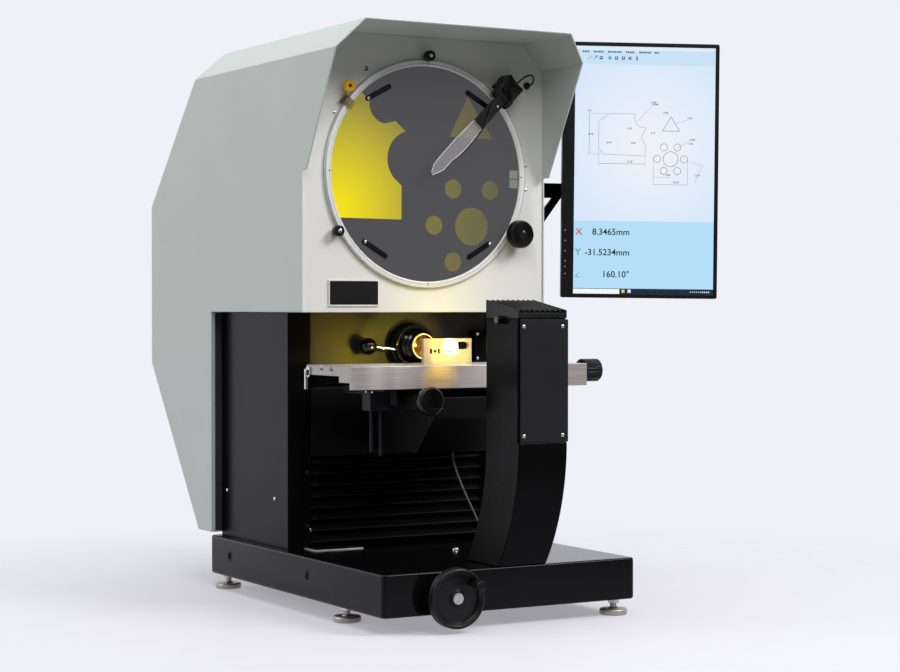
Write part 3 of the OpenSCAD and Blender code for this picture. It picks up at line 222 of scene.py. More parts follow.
def brushed(name, colour, rough, stretch, height=0.004, share=1.0, sweep=0.0):
    """Metal with fine lines along where stretch is small, and broad lighter and darker bands of painted reflection
    as far as sweep says.
    """
    made = Finish(name, colour, rough, share)
    made.uneven(500, 0.09, stretch).grain(900, height, stretch)
    lines = made.span(made.noise(600, 3.0, stretch), 0.0, 1.0 - sweep)
    # Broad bands along x in the colour, standing in for reflections: painted reflection.
    painted_reflection_bands = made.span(made.noise(21, 0.0, (1, 0.05, 0.05)), 0.0, sweep, 0.35, 0.65)
    low, high = (tuple(c * k for c in colour) for k in (0.9 - 0.6 * sweep, 1.1))
    return made.put("Base Color", made.mix(combine(made.tree, "ADD", lines, painted_reflection_bands), low, high))


def moulded(name, colour, rough, sheen=0.4):
    return Finish(name, colour, rough, 0.0, sheen).mottle(60, 0.10).uneven(120, 0.05).grain(2200, 0.006)


def metal(name, colour, rough, spread, share=1.0):
    """Metal with no grain to speak of: plated, polished or anodised."""
    return Finish(name, colour, rough, share).mottle(350, spread).uneven(260, 0.3 * rough).grain(900, 0.001)


def cloth(name, colour, rough):
    """Coated cloth, with its weave showing through as fine relief."""
    return Finish(name, colour, rough, 0.0, 0.12).mottle(30, 0.2).uneven(60, 0.05).grain(1700, 0.01)


def backlit(name, colour, light):
    """Ground glass with a dim, even light behind it."""
    made = Finish(name, colour, 0.4, 0.0, 0.1).mottle(14, 0.02).uneven(90, 0.04).grain(2600, 0.004)
    return made.glow(light, 1.0)


def glassy(name, colour, rough, sheen, patches, ripples):
    """A smooth skin without relief; patches of colour and ripples of gloss are (scale, spread)."""
    return Finish(name, colour, rough, 0.0, sheen).mottle(*patches).uneven(*ripples)


def clear(name, colour, rough, share=0.92):
    """Clear plastic sheet; share is how much of the light goes through."""
    made = glassy(name, colour, rough, 0.5, (30, 0.02), (60, 0.02))
    return made.put("Transmission Weight", share).put("IOR", 1.45)


ALONG_X = (0.02, 1, 1)
ALONG_Z = (1, 1, 0.02)

painted("black_paint", srgb(12, 12, 13), 0.24, 0.06, 1500, 0.001, 0.15)
painted("base_paint", srgb(10, 10, 11), 0.14, 0.13, 1500, 0.0005, 0.15)
painted("arm_paint", srgb(10, 10, 11), 0.26, 0.05, 1500, 0.001, 0.15)
painted("cover_paint", srgb(34, 33, 37), 0.5, 0.15, 1500, 0.006, 0.1)
# Dark grey for the strips on the front faces of the hood's side shrouds.
painted("strip_paint", srgb(58, 57, 61), 0.5, 0.15, 1500, 0.006, 0.1)
painted("wall_paint", srgb(44, 43, 38), 0.5, 0.3, 1200, 0.02, 0.1)
painted("hood_paint", srgb(207, 217, 212), 0.4, 0.35, 700, 0.008, 0.02)
painted("panel_paint", srgb(228, 227, 223), 0.42, 0.35, 700, 0.008, 0.015)
painted("frame_paint", srgb(90, 92, 95), 0.5, 0.4, 900, 0.02)
painted("knee_paint", srgb(16, 16, 17), 0.4, 0.15, 1500, 0.008, 0.15)
# The table's ground steel: its broad bands are painted reflection.
brushed("ground_steel", srgb(238, 228, 223), 0.42, ALONG_X, 0.002, 0.6, 0.7)
# A darker steel; on the table's ends it is painted shade.
brushed("painted_shade_steel", srgb(158, 153, 149), 0.5, ALONG_Z, 0.004, 0.7)
brushed("bright_steel", srgb(205, 205, 208), 0.2, ALONG_Z, 0.001)
metal("foot_steel", srgb(172, 168, 156), 0.42, 0.12, 0.8)
metal("zinc_steel", srgb(196, 196, 194), 0.3, 0.12)
cloth("bellows_cloth", srgb(11, 11, 12), 0.55)
moulded("black_plastic", srgb(15, 15, 16), 0.36, 0.25)
moulded("clip_steel", srgb(8, 8, 9), 0.3, 0.25)
moulded("orange_plastic", srgb(255, 190, 12), 0.36)
clear("vernier_tint", srgb(206, 200, 150), 0.1)
metal("ring_aluminium", srgb(236, 236, 234), 0.42, 0.02, 0.35)
backlit("ground_glass", srgb(38, 38, 39), srgb(70, 69, 72))
glassy("lens_coating", srgb(74, 46, 20), 0.06, 0.8, (40, 0.12), (50, 0.02))
clear("blade_plastic", srgb(244, 242, 246), 0.06, 0.84)
metal("mirror_glass", srgb(222, 224, 226), 0.03, 0.02)
moulded("black_anodised", srgb(19, 19, 20), 0.36, 0.3)
painted("lamp_board", srgb(222, 222, 214), 0.5, 0.4, 400, 0.02)
brushed("plate_metal", srgb(222, 200, 148), 0.5, ALONG_X, 0.001, 0.4)
moulded("cable_jacket", srgb(20, 20, 21), 0.4)
moulded("cable_grey", srgb(74, 74, 76), 0.45)
painted("display_plastic", srgb(14, 14, 15), 0.4, 0.2, 1500, 0.001)
glassy("display_glass", srgb(14, 15, 17), 0.12, 0.5, (20, 0.2), (60, 0.03))
metal("chrome", srgb(222, 222, 223), 0.12, 0.04)
metal("steel_screw", srgb(212, 212, 214), 0.24, 0.08)
moulded("black_screw", srgb(16, 16, 17), 0.3)
moulded("black_gloss", srgb(10, 10, 11), 0.1, 0.5)
# Near-white for the painted highlight along the clear blade's edges.
moulded("blade_glint", srgb(244, 246, 247), 0.3, 0.5)
moulded("black_ink", srgb(24, 24, 25), 0.6)
painted("name_plate", srgb(16, 16, 17), 0.3, 0.45, 900, 0.006)
moulded("display_mark", srgb(128, 130, 134), 0.5)
moulded("rubber", srgb(20, 20, 21), 0.6, 0.3)


# Shapes


class Shape:
    """A mesh in the making. All sizes go in as millimetres."""

    def __init__(self):
        self.bm = bmesh.new()

    def block(self, low, high):
        low, high = Vector(low) * MM, Vector(high) * MM
        for v in bmesh.ops.create_cube(self.bm, size=1.0)["verts"]:
            v.co = Vector([a + (b - a) * (c + 0.5) for a, b, c in zip(low, high, v.co)])
        return self

    def lathe(self, profile, base, axis, steps=40):
        """Turns (radius, height) points round the axis that starts at base."""
        n = Vector(axis).normalized()
        u = Vector((0, 0, 1)) if abs(n.z) < 0.9 else Vector((1, 0, 0))
        u = (u - n * u.dot(n)).normalized()
        w = n.cross(u)
        turns = [2 * math.pi * k / steps for k in range(steps)]
        spokes = [u * math.cos(a) + w * math.sin(a) for a in turns]
        rings = []
        for r, h in profile:
            centre = (Vector(base) + n * h) * MM
            if r == 0:
                rings.append([self.bm.verts.new(centre)])
            else:
                rings.append([self.bm.verts.new(centre + spoke * r * MM) for spoke in spokes])
        for a, b in zip(rings, rings[1:]):
            for k in range(steps):
                corners = [a[k % len(a)], a[(k + 1) % len(a)], b[(k + 1) % len(b)], b[k % len(b)]]
                corners = list(dict.fromkeys(corners))
                if len(corners) > 2:
                    self.bm.faces.new(corners)
        return self

    def flat(self, outline, where, out, material=0):
        """A thin coloured face: outline is (u, v) points and where(u, v, out) puts them in place."""
        face = self.bm.faces.new([self.bm.verts.new(where(u, v, out) * MM) for u, v in outline])
        face.material_index = material
        return self

    def slab(self, outline, where, low, high):
        """A plate between two distances out from its plane."""
        ends = [[self.bm.verts.new(where(u, v, out) * MM) for u, v in outline] for out in (low, high)]
        self.bm.faces.new(ends[0][::-1])
        self.bm.faces.new(ends[1])
        count = len(outline)
        for k in range(count):
            self.bm.faces.new([ends[0][k], ends[0][(k + 1) % count], ends[1][(k + 1) % count], ends[1][k]])
        return self

    def tube(self, path, radius, sides=16):
        """A round bar along a path."""
        points = [Vector(p) for p in path]
        turns = [2 * math.pi * s / sides for s in range(sides)]
        up = Vector((1, 0, 0))
        rings = []
        for k, p in enumerate(points):
            n = (points[min(k + 1, len(points) - 1)] - points[max(k - 1, 0)]).normalized()
            u = (up - n * up.dot(n)).normalized()
            w = n.cross(u)
            up = u
            spokes = [u * math.cos(a) + w * math.sin(a) for a in turns]
            rings.append([self.bm.verts.new((p + spoke * radius) * MM) for spoke in spokes])
        for a, b in zip(rings, rings[1:]):
            for s in range(sides):
                self.bm.faces.new([a[s], a[(s + 1) % sides], b[(s + 1) % sides], b[s]])
        self.bm.faces.new(rings[0][::-1])
        self.bm.faces.new(rings[-1])
        return self

    def text(self, words, height, where, out, u, v, align="LEFT", weight=0.0):
        """Figures as a flat mesh, height tall, from (u, v) in the plane of where."""
        curve = bpy.data.curves.new("figures", "FONT")
        curve.body = words
        curve.align_x = align
        curve.size = height / CAP_HEIGHT
        curve.offset = weight * height
        curve.resolution_u = 3
        holder = bpy.data.objects.new("figures", curve)
        SCENE.collection.objects.link(holder)
        bpy.context.view_layer.update()
        shown = holder.evaluated_get(bpy.context.evaluated_depsgraph_get())
        made = bpy.data.meshes.new_from_object(shown)
        bpy.data.objects.remove(holder)
        points = [self.bm.verts.new(where(u + p.co.x, v + p.co.y, out) * MM) for p in made.vertices]
        for polygon in made.polygons:
            self.bm.faces.new([points[i] for i in polygon.vertices])
        bpy.data.meshes.remove(made)
        return self


def place(name, bm, finishes, body=None, replaces=(), edge=0.0, segments=2, angle=30):
    """Makes an object of the mesh, rounds its edges and ties it to its CAD body."""
    mesh = bpy.data.meshes.new(name)
    bmesh.ops.recalc_face_normals(bm, faces=bm.faces)
    bm.to_mesh(mesh)
    bm.free()
    mesh.shade_smooth()
    mesh.set_sharp_from_angle(angle=math.radians(angle))
    obj = bpy.data.objects.new(name, mesh)
    SCENE.collection.objects.link(obj)
    for finish in [finishes] if isinstance(finishes, str) else finishes:
        mesh.materials.append(F[finish].material)
    if edge:
        bevel = obj.modifiers.new("rounded", "BEVEL")
        bevel.width = edge * MM
        bevel.segments = segments
        bevel.limit_method = "ANGLE"
        bevel.angle_limit = BEVEL_ANGLE
        bevel.use_clamp_overlap = False
        bevel.harden_normals = True
    if replaces:
        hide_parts(*replaces)
    if body:
        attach(obj, body)
    return obj


def welded(node):
    """The mesh of a CAD node, with its corners joined."""
    bm = bmesh.new()
    bm.from_mesh(NODES[node].data)
    bmesh.ops.remove_doubles(bm, verts=bm.verts, dist=WELD)
    return bm


def copied(node):
    """The mesh of a CAD node, with its facets merged."""
    bm = welded(node)
    bmesh.ops.dissolve_limit(bm, angle_limit=math.radians(1), verts=bm.verts, edges=bm.edges)
    return bm


def dress(node, finish=None, edge=0.5, segments=2, bm=None):
    """A copy of a CAD node with its edges rounded and its finish on."""
    bm = bm or copied(node)
    slot = SLOT_OF[node]
    return place(node + "_look", bm, finish or slot, BODY_OF[node], (node,), edge, segments)


def keep(node):
    """A CAD node that shows as it is, with its finish."""
    mesh = NODES[node].data
    mesh.materials.clear()
    mesh.materials.append(F[SLOT_OF[node]].material)


def box_of(node):
    """The low and high corner of a CAD node."""
    return [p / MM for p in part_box(node)]


def front_of(node):
    """The middle of a CAD node's front."""
    low, high = box_of(node)
    return Vector(((low.x + high.x) / 2, low.y, (low.z + high.z) / 2))


def spaced(route, step=2.0):
    """A smooth line through the points of a route."""
    points = [Vector(p) for p in route]
    ends = [2 * points[0] - points[1]] + points + [2 * points[-1] - points[-2]]
    line = []
    for a, b, c, d in zip(ends, ends[1:], ends[2:], ends[3:]):
        count = max(2, round((c - b).length / step))
        for k in range(count):
            t = k / count
            square, cube = 2 * a - 5 * b + 4 * c - d, 3 * b - a - 3 * c + d
            line.append(0.5 * (2 * b + (c - a) * t + square * t * t + cube * t ** 3))
    return line + [points[-1]]


def circle(cx, cy, r, steps=48, start=0.0, end=360.0):
    turns = [math.radians(start + (end - start) * k / steps) for k in range(steps + (end - start < 360))]
    return [(cx + r * math.cos(a), cy + r * math.sin(a)) for a in turns]


def rectangle(u0, v0, u1, v1):
    return [(u0, v0), (u1, v0), (u1, v1), (u0, v1)]


def arc_through(a, b, c, steps=16):
    """Points from a to c on the circle through a, b and c."""
    (ax, ay), (bx, by), (cx, cy) = a, b, c
    d = 2 * (ax * (by - cy) + bx * (cy - ay) + cx * (ay - by))
    aa, bb, cc = ax * ax + ay * ay, bx * bx + by * by, cx * cx + cy * cy
    ox = (aa * (by - cy) + bb * (cy - ay) + cc * (ay - by)) / d
    oy = (aa * (cx - bx) + bb * (ax - cx) + cc * (bx - ax)) / d
    r = math.hypot(ax - ox, ay - oy)
    start, middle, end = (math.atan2(y - oy, x - ox) for x, y in (a, b, c))
    sweep = (end - start) % (2 * math.pi)
    if (middle - start) % (2 * math.pi) > sweep:
        sweep -= 2 * math.pi
    turns = [start + sweep * k / steps for k in range(steps + 1)]
    return [(ox + r * math.cos(turn), oy + r * math.sin(turn)) for turn in turns]


def on_front(u, v, out):
    """A point at x = u, z = v, out in front of the panel's face."""
    return Vector((u, -out, v))


def on_screen(u, v, out):
    """A point from the centre of the round screen."""
    return Vector((u, -out, SCREEN_Z + v))


def on_base(u, v, out):
    """A point on the base's top."""
    return Vector((u, v, BASE_TOP + out))


def on_display(u, v, out):
    """A point from the centre of the display, out in front of its middle plane."""
    turn = Matrix.Rotation(DISPLAY_TURN, 3, "Z") @ Matrix.Rotation(DISPLAY_SKEW, 3, "Y")
    return DISPLAY_CENTRE + turn @ Vector((u, -out, v))


# Cords

SENSOR_ROUTE = [
    (168, -34, 972), (168, -40, 972), (172, -46, 976), (182, -49, 985), (194, -47, 991),
    (206, -42, 992), (214, -34, 988), (219, -24, 981), (220, -12, 977), (220, 0, 977),
]
STAGE_ROUTE = [
    (40, -30, 286.4), (40, -30, 275.4), (42, -36, 255), (46, -46, 232), (51, -60, 206),
    (56, -76, 180), (60, -92, 156), (62, -104, 134), (63, -112, 115), (63, -112, 104),
]
CORD_R = 1.8


def make_cords():
    line = spaced(SENSOR_ROUTE)
    curve = bpy.data.curves.new("sensor_cable_cord", "CURVE")
    curve.dimensions = "3D"
    spline = curve.splines.new("POLY")
    spline.points.add(len(line) - 1)
    for point, p in zip(spline.points, line):
        point.co = (*(p * MM), 1.0)
    curve.bevel_depth = CORD_R * MM
    curve.bevel_resolution = 6
    curve.use_fill_caps = True
    curve.materials.append(F["cable_jacket"].material)
    cord = bpy.data.objects.new("sensor_cable_cord", curve)
    SCENE.collection.objects.link(cord)
    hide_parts("sensor_cable")
    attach(cord, "machine")

    line = spaced(STAGE_ROUTE)
    tube = Shape().tube(line, CORD_R)
    cord = place("stage_cable_cord", tube.bm, "cable_grey", replaces=("stage_cable",))
    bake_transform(cord)


# The machine

EDGES = {
    "base": 4.0, "cabinet_left": 1.0, "cabinet_right": 1.0, "lamp_arm": 2.2, "lamp_cover": 1.2,
    "reflex_box": 1.0, "monitor_bracket": 0.8, "swing_arm": 1.2, "arm_head": 0.8, "vesa_plate": 0.8,
    "lens_wall": 0.6, "hood": 1.2, "screen_panel": 0.6, "knee": 1.5, "focus_slide": 1.0,
    "foot_fl": 0.8, "foot_fr": 0.8, "foot_rl": 0.8, "foot_rr": 0.8, "foot_locknuts": 0.6,
    "drive_knob": 0.6, "roller_top": 0.4, "roller_left": 0.4, "handwheel": 1.0, "wheel_grip": 0.8,
    "focus_crank": 0.8, "x_knob": 0.6, "lens_lever": 0.2, "lamp_thumb_screw": 0.3,
    "sensor_bracket": 0.6, "clamp_knob": 0.5, "vernier_plate": 0.3,
    "screen_ring": 0.5, "screen_glass": 0.2, "lens_glass": 0.1,
    "lens_mount": 0.5, "lens_barrel": 0.4, "heat_sink": 0.5, "test_plate": 0.3,
    "monitor_shell": 1.5, "monitor_screen": 0.1, "lift_shaft": 0.4,
}
LARGE_EDGE = 1.0
FINISH_OF = {
    "base": "base_paint", "lamp_arm": "arm_paint", "lamp_cover": "cover_paint", "focus_slide": "cover_paint",
    "lift_shaft": "zinc_steel", "focus_crank": "black_screw",
    "lens_lever": "black_gloss", "lens_barrel": "black_gloss", "lamp_thumb_screw": "black_gloss",
    "foot_fl": "foot_steel", "foot_fr": "foot_steel", "foot_rl": "foot_steel", "foot_rr": "foot_steel",
}
UNSEEN = ["inner_frame", "guide_rods", "lead_screw", "mirrors", "led_module", "condenser"]

LOWER_FOLDS = 8
UPPER_FOLDS = 6
BELLOWS_COLUMNS = 28
ROWS_PER_FOLD = 12
PLEAT_SHARPNESS = 0.94
CLOTH_MARGIN = 0.5
CLOTH_THICKNESS = 0.8
CLOTH_SAG = 0.35
SAG_ACROSS = 5.1
SAG_PER_ROW = 2.3

CLIP_CLEARANCE = 0.5


def make_bellows(name, node, low, high, folds):
    """Pleated cloth between two heights."""
    box_low, box_high = box_of(node)
    middle, reach = (box_low.y + box_high.y) / 2, (box_high.y - box_low.y) / 2 - CLOTH_MARGIN
    rows = folds * ROWS_PER_FOLD
    bm = bmesh.new()
    grid = []
    for r in range(rows + 1):
        share = r / rows
        phase = 2 * math.pi * folds * share
        wave = math.asin(PLEAT_SHARPNESS * math.cos(phase)) / math.asin(PLEAT_SHARPNESS)
        line = []
        for c in range(BELLOWS_COLUMNS + 1):
            across = c / BELLOWS_COLUMNS
            sag = CLOTH_SAG * math.sin(SAG_ACROSS * across + SAG_PER_ROW * r) * (1 - abs(wave))
            x = box_low.x + (box_high.x - box_low.x) * across
            y = middle + reach * wave + sag
            line.append(bm.verts.new(Vector((x, y, low + (high - low) * share)) * MM))
        grid.append(line)
    for a, b in zip(grid, grid[1:]):
        for c in range(BELLOWS_COLUMNS):
            bm.faces.new([a[c], a[c + 1], b[c + 1], b[c]])
    obj = place(name, bm, "bellows_cloth", replaces=(node,), angle=180)
    thick = obj.modifiers.new("cloth", "SOLIDIFY")
    thick.thickness = CLOTH_THICKNESS * MM
    thick.offset = 0.0
    return obj


def make_clip(node):
    """A chart clip, cut off just in front of the glass so that it turns clear of the image."""
    bm = copied(node)
    everything = bm.verts[:] + bm.edges[:] + bm.faces[:]
    cut = Vector((0, -(GLASS_FRONT + CLIP_CLEARANCE), 0)) * MM
    bmesh.ops.bisect_plane(bm, geom=everything, plane_co=cut, plane_no=(0, 1, 0), clear_outer=True)
    bmesh.ops.holes_fill(bm, edges=[e for e in bm.edges if e.is_boundary])
    dress(node, "clip_steel", 0.4, bm=bm)


def make_table():
    """The table: ground steel all over, with its ends in a darker steel that is painted shade."""
    bm = copied("table")
    bm.normal_update()
    for face in bm.faces:
        # Faces that look along x, the table's ends, get the darker steel as painted shade.
        face.material_index = int(abs(face.normal.x) > 0.9)
    dress("table", ["ground_steel", "painted_shade_steel"], 0.8, bm=bm)


def make_machine():
    for node, edge in EDGES.items():
        dress(node, FINISH_OF.get(node), edge, 3 if edge > LARGE_EDGE else 2)
    for letter in "abcd":
        make_clip("chart_clip_" + letter)
    make_table()
    for node in UNSEEN:
        keep(node)
    lower = make_bellows("lower_bellows_pleats", "lower_bellows", BASE_TOP, APRON_BOTTOM, LOWER_FOLDS)
    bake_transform(lower)
    upper = make_bellows("upper_bellows_pleats", "upper_bellows", APRON_TOP, WALL_Z, UPPER_FOLDS)
    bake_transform(upper)


# Screws

PANEL_SCREWS = [(-169.0, 942.7), (-182.5, 925.9)]
# Screws that face forward, behind this y and beyond this x, are on the cabinet's front edges.
CABINET_SCREW_Y = 90.0
CABINET_SCREW_X = 180.0
SCREW_ANGLE = 50


def solids_of(node):
    """The low and high corner of each separate solid of a CAD node."""
    bm = welded(node)
    left, found = set(bm.verts), []
    while left:
        queue, group = [left.pop()], []
        while queue:
            v = queue.pop()
            group.append(v.co.copy() / MM)
            for edge in v.link_edges:
                other = edge.other_vert(v)
                if other in left:
                    left.remove(other)
                    queue.append(other)
        found.append([Vector([pick(p[i] for p in group) for i in range(3)]) for pick in (min, max)])
    bm.free()
    return found


def screw_head(shape, base, axis, r, h):
    """A domed head with a hexagon socket, standing on base."""
    socket = 0.36 * r
    dome = [(r, 0), (r, 0.2 * h), (0.93 * r, 0.55 * h), (0.75 * r, 0.85 * h), (socket, h)]
    shape.lathe(dome, base, axis, 28)
    shape.lathe([(0, 0.5 * h), (socket, 0.5 * h), (socket, h)], base, axis, 6)


def one_screw(name, base, axis, r, h, body, finish="steel_screw"):
    """A screw head that is a piece of its own."""
    screw = Shape()
    screw_head(screw, base, axis, r, h)
    place(name, screw.bm, finish, body, angle=SCREW_ANGLE)


def make_screws():
    """Socket heads in place of the CAD's plain ones: bright outside, black on the cabinet's front edges."""
    bright, black = Shape(), Shape()
    for low, high in solids_of("screws"):
        size, middle = high - low, (low + high) / 2
        thin = min(range(3), key=lambda i: size[i])
        axis = Vector((0, 0, 0))
        axis[thin] = (math.copysign(1, middle.x), -1, 1)[thin]
        on_cabinet = thin == 1 and middle.y > CABINET_SCREW_Y and abs(middle.x) > CABINET_SCREW_X
        shape = black if on_cabinet else bright
        screw_head(shape, middle - axis * size[thin] / 2, axis, max(size) / 2, size[thin])
    for u, v in PANEL_SCREWS:
        screw_head(bright, (u, 0, v), FORWARD, 3.4, 2.6)
    place("screw_heads", bright.bm, "steel_screw", "machine", ("screws",), angle=SCREW_ANGLE)
    place("cabinet_screw_heads", black.bm, "black_screw", "machine", angle=SCREW_ANGLE)


# The projected image, a painted reflection on the glass, and the screen's marks and painted shade lines

IMAGE_OUT = GLASS_FRONT + 0.15
IMAGE_EDGE = (
    arc_through((-182.6, -84.5), (-201.0, 0.0), (-137.3, 146.5), 40)
    + [(-121.0, 130.1)]
    + arc_through((-121.0, 130.1), (-117.1, 109.4), (-89.7, 90.1), 10)[1:]
    + [(-66.6, 95.9), (-45.4, 77.2)]
    + arc_through((-45.4, 77.2), (-83.6, 21.2), (-69.6, -10.0), 24)[1:]
    + [(-54.3, -22.8), (-54.4, -85.6)]
)
IMAGE_HOLES = [
    (55.9, -26.1, 17.8), (136.0, -26.9, 17.8), (14.6, -94.8, 17.8), (55.4, -163.0, 17.8),
    (95.6, -95.8, 35.8),
]
IMAGE_TRIANGLE = [(87.0, 147.4), (48.0, 71.7), (141.8, 69.7)]
# Two pale squares at the glass's right: a painted reflection of a window, not part of the projected image.
REFLECTION_PATCHES = [(179.5, -21.0, 197.4, -5.0), (179.5, -3.2, 197.4, 12.6)]
IMAGE_BRIGHTEST = (-190.0, -70.0)

TICK_ENDS = (SCREEN_R + 0.8, SCREEN_R + 7.5)
TICK_W = 1.2
TICK_OUT = RING_FRONT + 0.05
# Thin dark rings painted on the ring's face: the outer one is painted shade of the gap round the ring; the inner
# one is a plain dark line.
RING_SHADE_LINES = [(RING_R - 1.0, 0.5), (SCREEN_R + 4.2, 0.4)]
RING_SHADE_OUT = RING_FRONT + 0.04
RING_STEPS = 180


def lamplight(name, bright, dim, near, far, strength):
    """Light on the screen, brightest round one point at lower left and dimmer away from it."""
    made = Finish(name, srgb(30, 28, 16), 0.5, 0.0, 0.1)
    share = made.away(on_screen(*IMAGE_BRIGHTEST, GLASS_FRONT), near, far)
    return made.glow(made.mix(share, bright, dim), strength)


lamplight("image_field", srgb(252, 232, 14), srgb(136, 128, 66), 20, 225, 0.9)
lamplight("image_hole", srgb(132, 124, 72), srgb(98, 95, 82), 215, 400, 0.8)
# A painted reflection: pale light on the squares at the glass's right.
lamplight("painted_reflection", srgb(150, 155, 156), srgb(138, 143, 144), 300, 420, 0.75)


def make_screen():
    field = Shape().flat(IMAGE_EDGE, on_screen, IMAGE_OUT)
    place("projected_field", field.bm, "image_field", "machine")
    holes = Shape()
    for u, v, r in IMAGE_HOLES:
        holes.flat(circle(u, v, r), on_screen, IMAGE_OUT)
    holes.flat(IMAGE_TRIANGLE, on_screen, IMAGE_OUT)
    place("projected_holes", holes.bm, "image_hole", "machine")
    # The pale squares: a painted reflection on the glass.
    patches = Shape()
    for corners in REFLECTION_PATCHES:
        patches.flat(rectangle(*corners), on_screen, IMAGE_OUT)
    place("painted_reflection_patches", patches.bm, "painted_reflection", "machine")

    marks = Shape()
    for degree in range(0, 360, 90):
        a = math.radians(degree)
        along = Vector((math.cos(a), math.sin(a)))
        across = Vector((-math.sin(a), math.cos(a))) * TICK_W / 2
        inner, outer = (along * r for r in TICK_ENDS)
        marks.flat([inner - across, outer - across, outer + across, inner + across], on_screen, TICK_OUT)
    # Painted shade at the ring's outer edge, and a dark line further in.
    for r, width in RING_SHADE_LINES:
        rim = [circle(0, 0, r, RING_STEPS), circle(0, 0, r + width, RING_STEPS)]
        for k in range(RING_STEPS):
            n = (k + 1) % RING_STEPS
            marks.flat([rim[0][k], rim[1][k], rim[1][n], rim[0][n]], on_screen, RING_SHADE_OUT)
    place("ring_marks_and_shade", marks.bm, "black_ink", "screen")


# The edge sensor

SENSOR_HINGE = 208.0
ARM_OUTLINE = [(134, 12), (134, -11.3), (SENSOR_HINGE, -11.7), (SENSOR_HINGE, 11.7)]
ARM_BACK = 30.2
ARM_FRONT = 36.0
HINGE_OUT = 30.0
HINGE_PROFILE = [(0, -11.7), (7, -11.7), (8, -10.7), (8, 10.7), (7, 11.7), (0, 11.7)]
BLADE_OUTLINE = [
    (136, 11), (76, 14), (14, 12.5), (-1, 6), (-4, 0), (18, -9), (46, -9.3), (56, -12), (75, -13.5),
    (96, -13.5), (136, -11.3),
]
BLADE_BACK = 27.0
BLADE_FRONT = 30.0
# A near-white line round the blade's outline: a painted highlight of its polished edges.
BLADE_GLINT_OUT = 30.1
BLADE_GLINT_R = 0.55
FIBRE_ROUTE = [
    (50, -12.5, 29), (60, -14.5, 29), (75, -16, 29), (96, -16, 30), (120, -14, 32), (138, -9, 37.8),
    (154, -3, 38), (172, 5, 38), (190, 9.5, 38), (206, 10, 38),
]
FIBRE_R = 1.5
ARM_SCREW = (186, -3.5, ARM_FRONT)
BRACKET_KNOB = (229, -4, 34)
BRACKET_KNOB_PROFILE = [(6.5, 0), (6.5, 6), (5.5, 7), (3, 7), (2.4, 6.4), (0, 6.4)]


def on_sensor(r, t, out):
    """A point on the sensor's arm: r from the screen's centre along it, t across it."""
    c = math.sqrt(0.5)
    return on_screen(c * (r - t), c * (r + t), out)


def make_sensor():
    """The edge sensor: a hinged arm plate, its clear blade with a painted highlight in near-white along its edges,
    and the light fibre.
    """
    arm = Shape().slab(ARM_OUTLINE, on_sensor, ARM_BACK, ARM_FRONT)
    along = on_sensor(0, 1, 0) - on_sensor(0, 0, 0)
    arm.lathe(HINGE_PROFILE, on_sensor(SENSOR_HINGE, 0, HINGE_OUT), along, 32)
    place("sensor_arm_plate", arm.bm, "black_plastic", "sensor_arm", ("sensor_arm",), 0.8)
    blade = Shape().slab(BLADE_OUTLINE, on_sensor, BLADE_BACK, BLADE_FRONT)
    place("sensor_blade_sheet", blade.bm, "blade_plastic", "sensor_arm",
          ("sensor_blade",), 0.3)
    # The painted highlight along the blade's edges.
    edge = Shape().tube([on_sensor(r, t, BLADE_GLINT_OUT) for r, t in BLADE_OUTLINE], BLADE_GLINT_R, 8)
    place("sensor_blade_glint", edge.bm, "blade_glint", "sensor_arm")
    fibre = Shape().tube(spaced([on_sensor(*p) for p in FIBRE_ROUTE]), FIBRE_R, 10)
    place("sensor_fibre", fibre.bm, "cable_jacket", "sensor_arm")
    one_screw("sensor_arm_screw", on_sensor(*ARM_SCREW), FORWARD, 2.6, 2, "sensor_arm")
    knob = Shape().lathe(BRACKET_KNOB_PROFILE, on_sensor(*BRACKET_KNOB), FORWARD, 24)
    place("sensor_bracket_knob", knob.bm, "black_plastic", "machine")


# Trim of knobs and clips

KNOB_RIM = [(24.0, 0.0), (23.4, 0.9)]
KNOB_RIDGE = [(22.0, 0.9), (21.5, -0.3), (20.7, -0.3), (20.2, 0.9)]
KNOB_RIDGES = 6
KNOB_RIDGE_STEP = 2.2
KNOB_BOSS = [(8.6, 0.9), (8.2, 2.0), (6.0, 4.2), (3.0, 5.2), (0, 5.4)]
KNOB_FACE_OUT = 0.4
CLAMP_FACE = [(10.4, 0), (10.0, 0.8), (8.2, 0.9), (7.6, 0.2), (5.0, 0.2), (4.6, 0.7), (3.0, 0.7)]
CLAMP_SCREW = [(3.2, 0.1), (3.2, 0.9), (2.4, 0.9), (1.8, 0.2), (0, 0.2)]
LEVER_ROD = [(-66, 79.5, 478.6), (-42, 79.5, 476.0), (-18, 79.5, 473.5)]
LEVER_ROD_R = 3.2


def make_knob_trim():
    ridges = [(r - KNOB_RIDGE_STEP * k, h) for k in range(KNOB_RIDGES) for r, h in KNOB_RIDGE]
    base = front_of("drive_knob") + Vector(FORWARD) * KNOB_FACE_OUT
    rings = Shape().lathe(KNOB_RIM + ridges + KNOB_BOSS, base, FORWARD, 48)
    place("drive_knob_face", rings.bm, "black_screw", "drive_knob", angle=25)

    front = front_of("clamp_knob")
    face = Shape().lathe(CLAMP_FACE, front, FORWARD, 40)
    place("clamp_knob_face", face.bm, "orange_plastic", "clamp_knob")
    hole = Shape().lathe(CLAMP_SCREW, front, FORWARD, 24)
    place("clamp_knob_screw", hole.bm, "black_screw", "clamp_knob")

    rod = Shape().tube(LEVER_ROD, LEVER_ROD_R, 20)
    place("lens_lever_rod", rod.bm, "chrome", "lens_lever")

    for joint in frame["joints"]:
        clip = joint["child"]
        if clip.startswith("chart_clip"):
            x, _, z = (c / MM for c in joint["pos_m"])
            base = (x, front_of(clip).y, z)
            one_screw(clip + "_screw", base, FORWARD, 3.0, 2.0, clip)


# Trim of the table and the focus slide

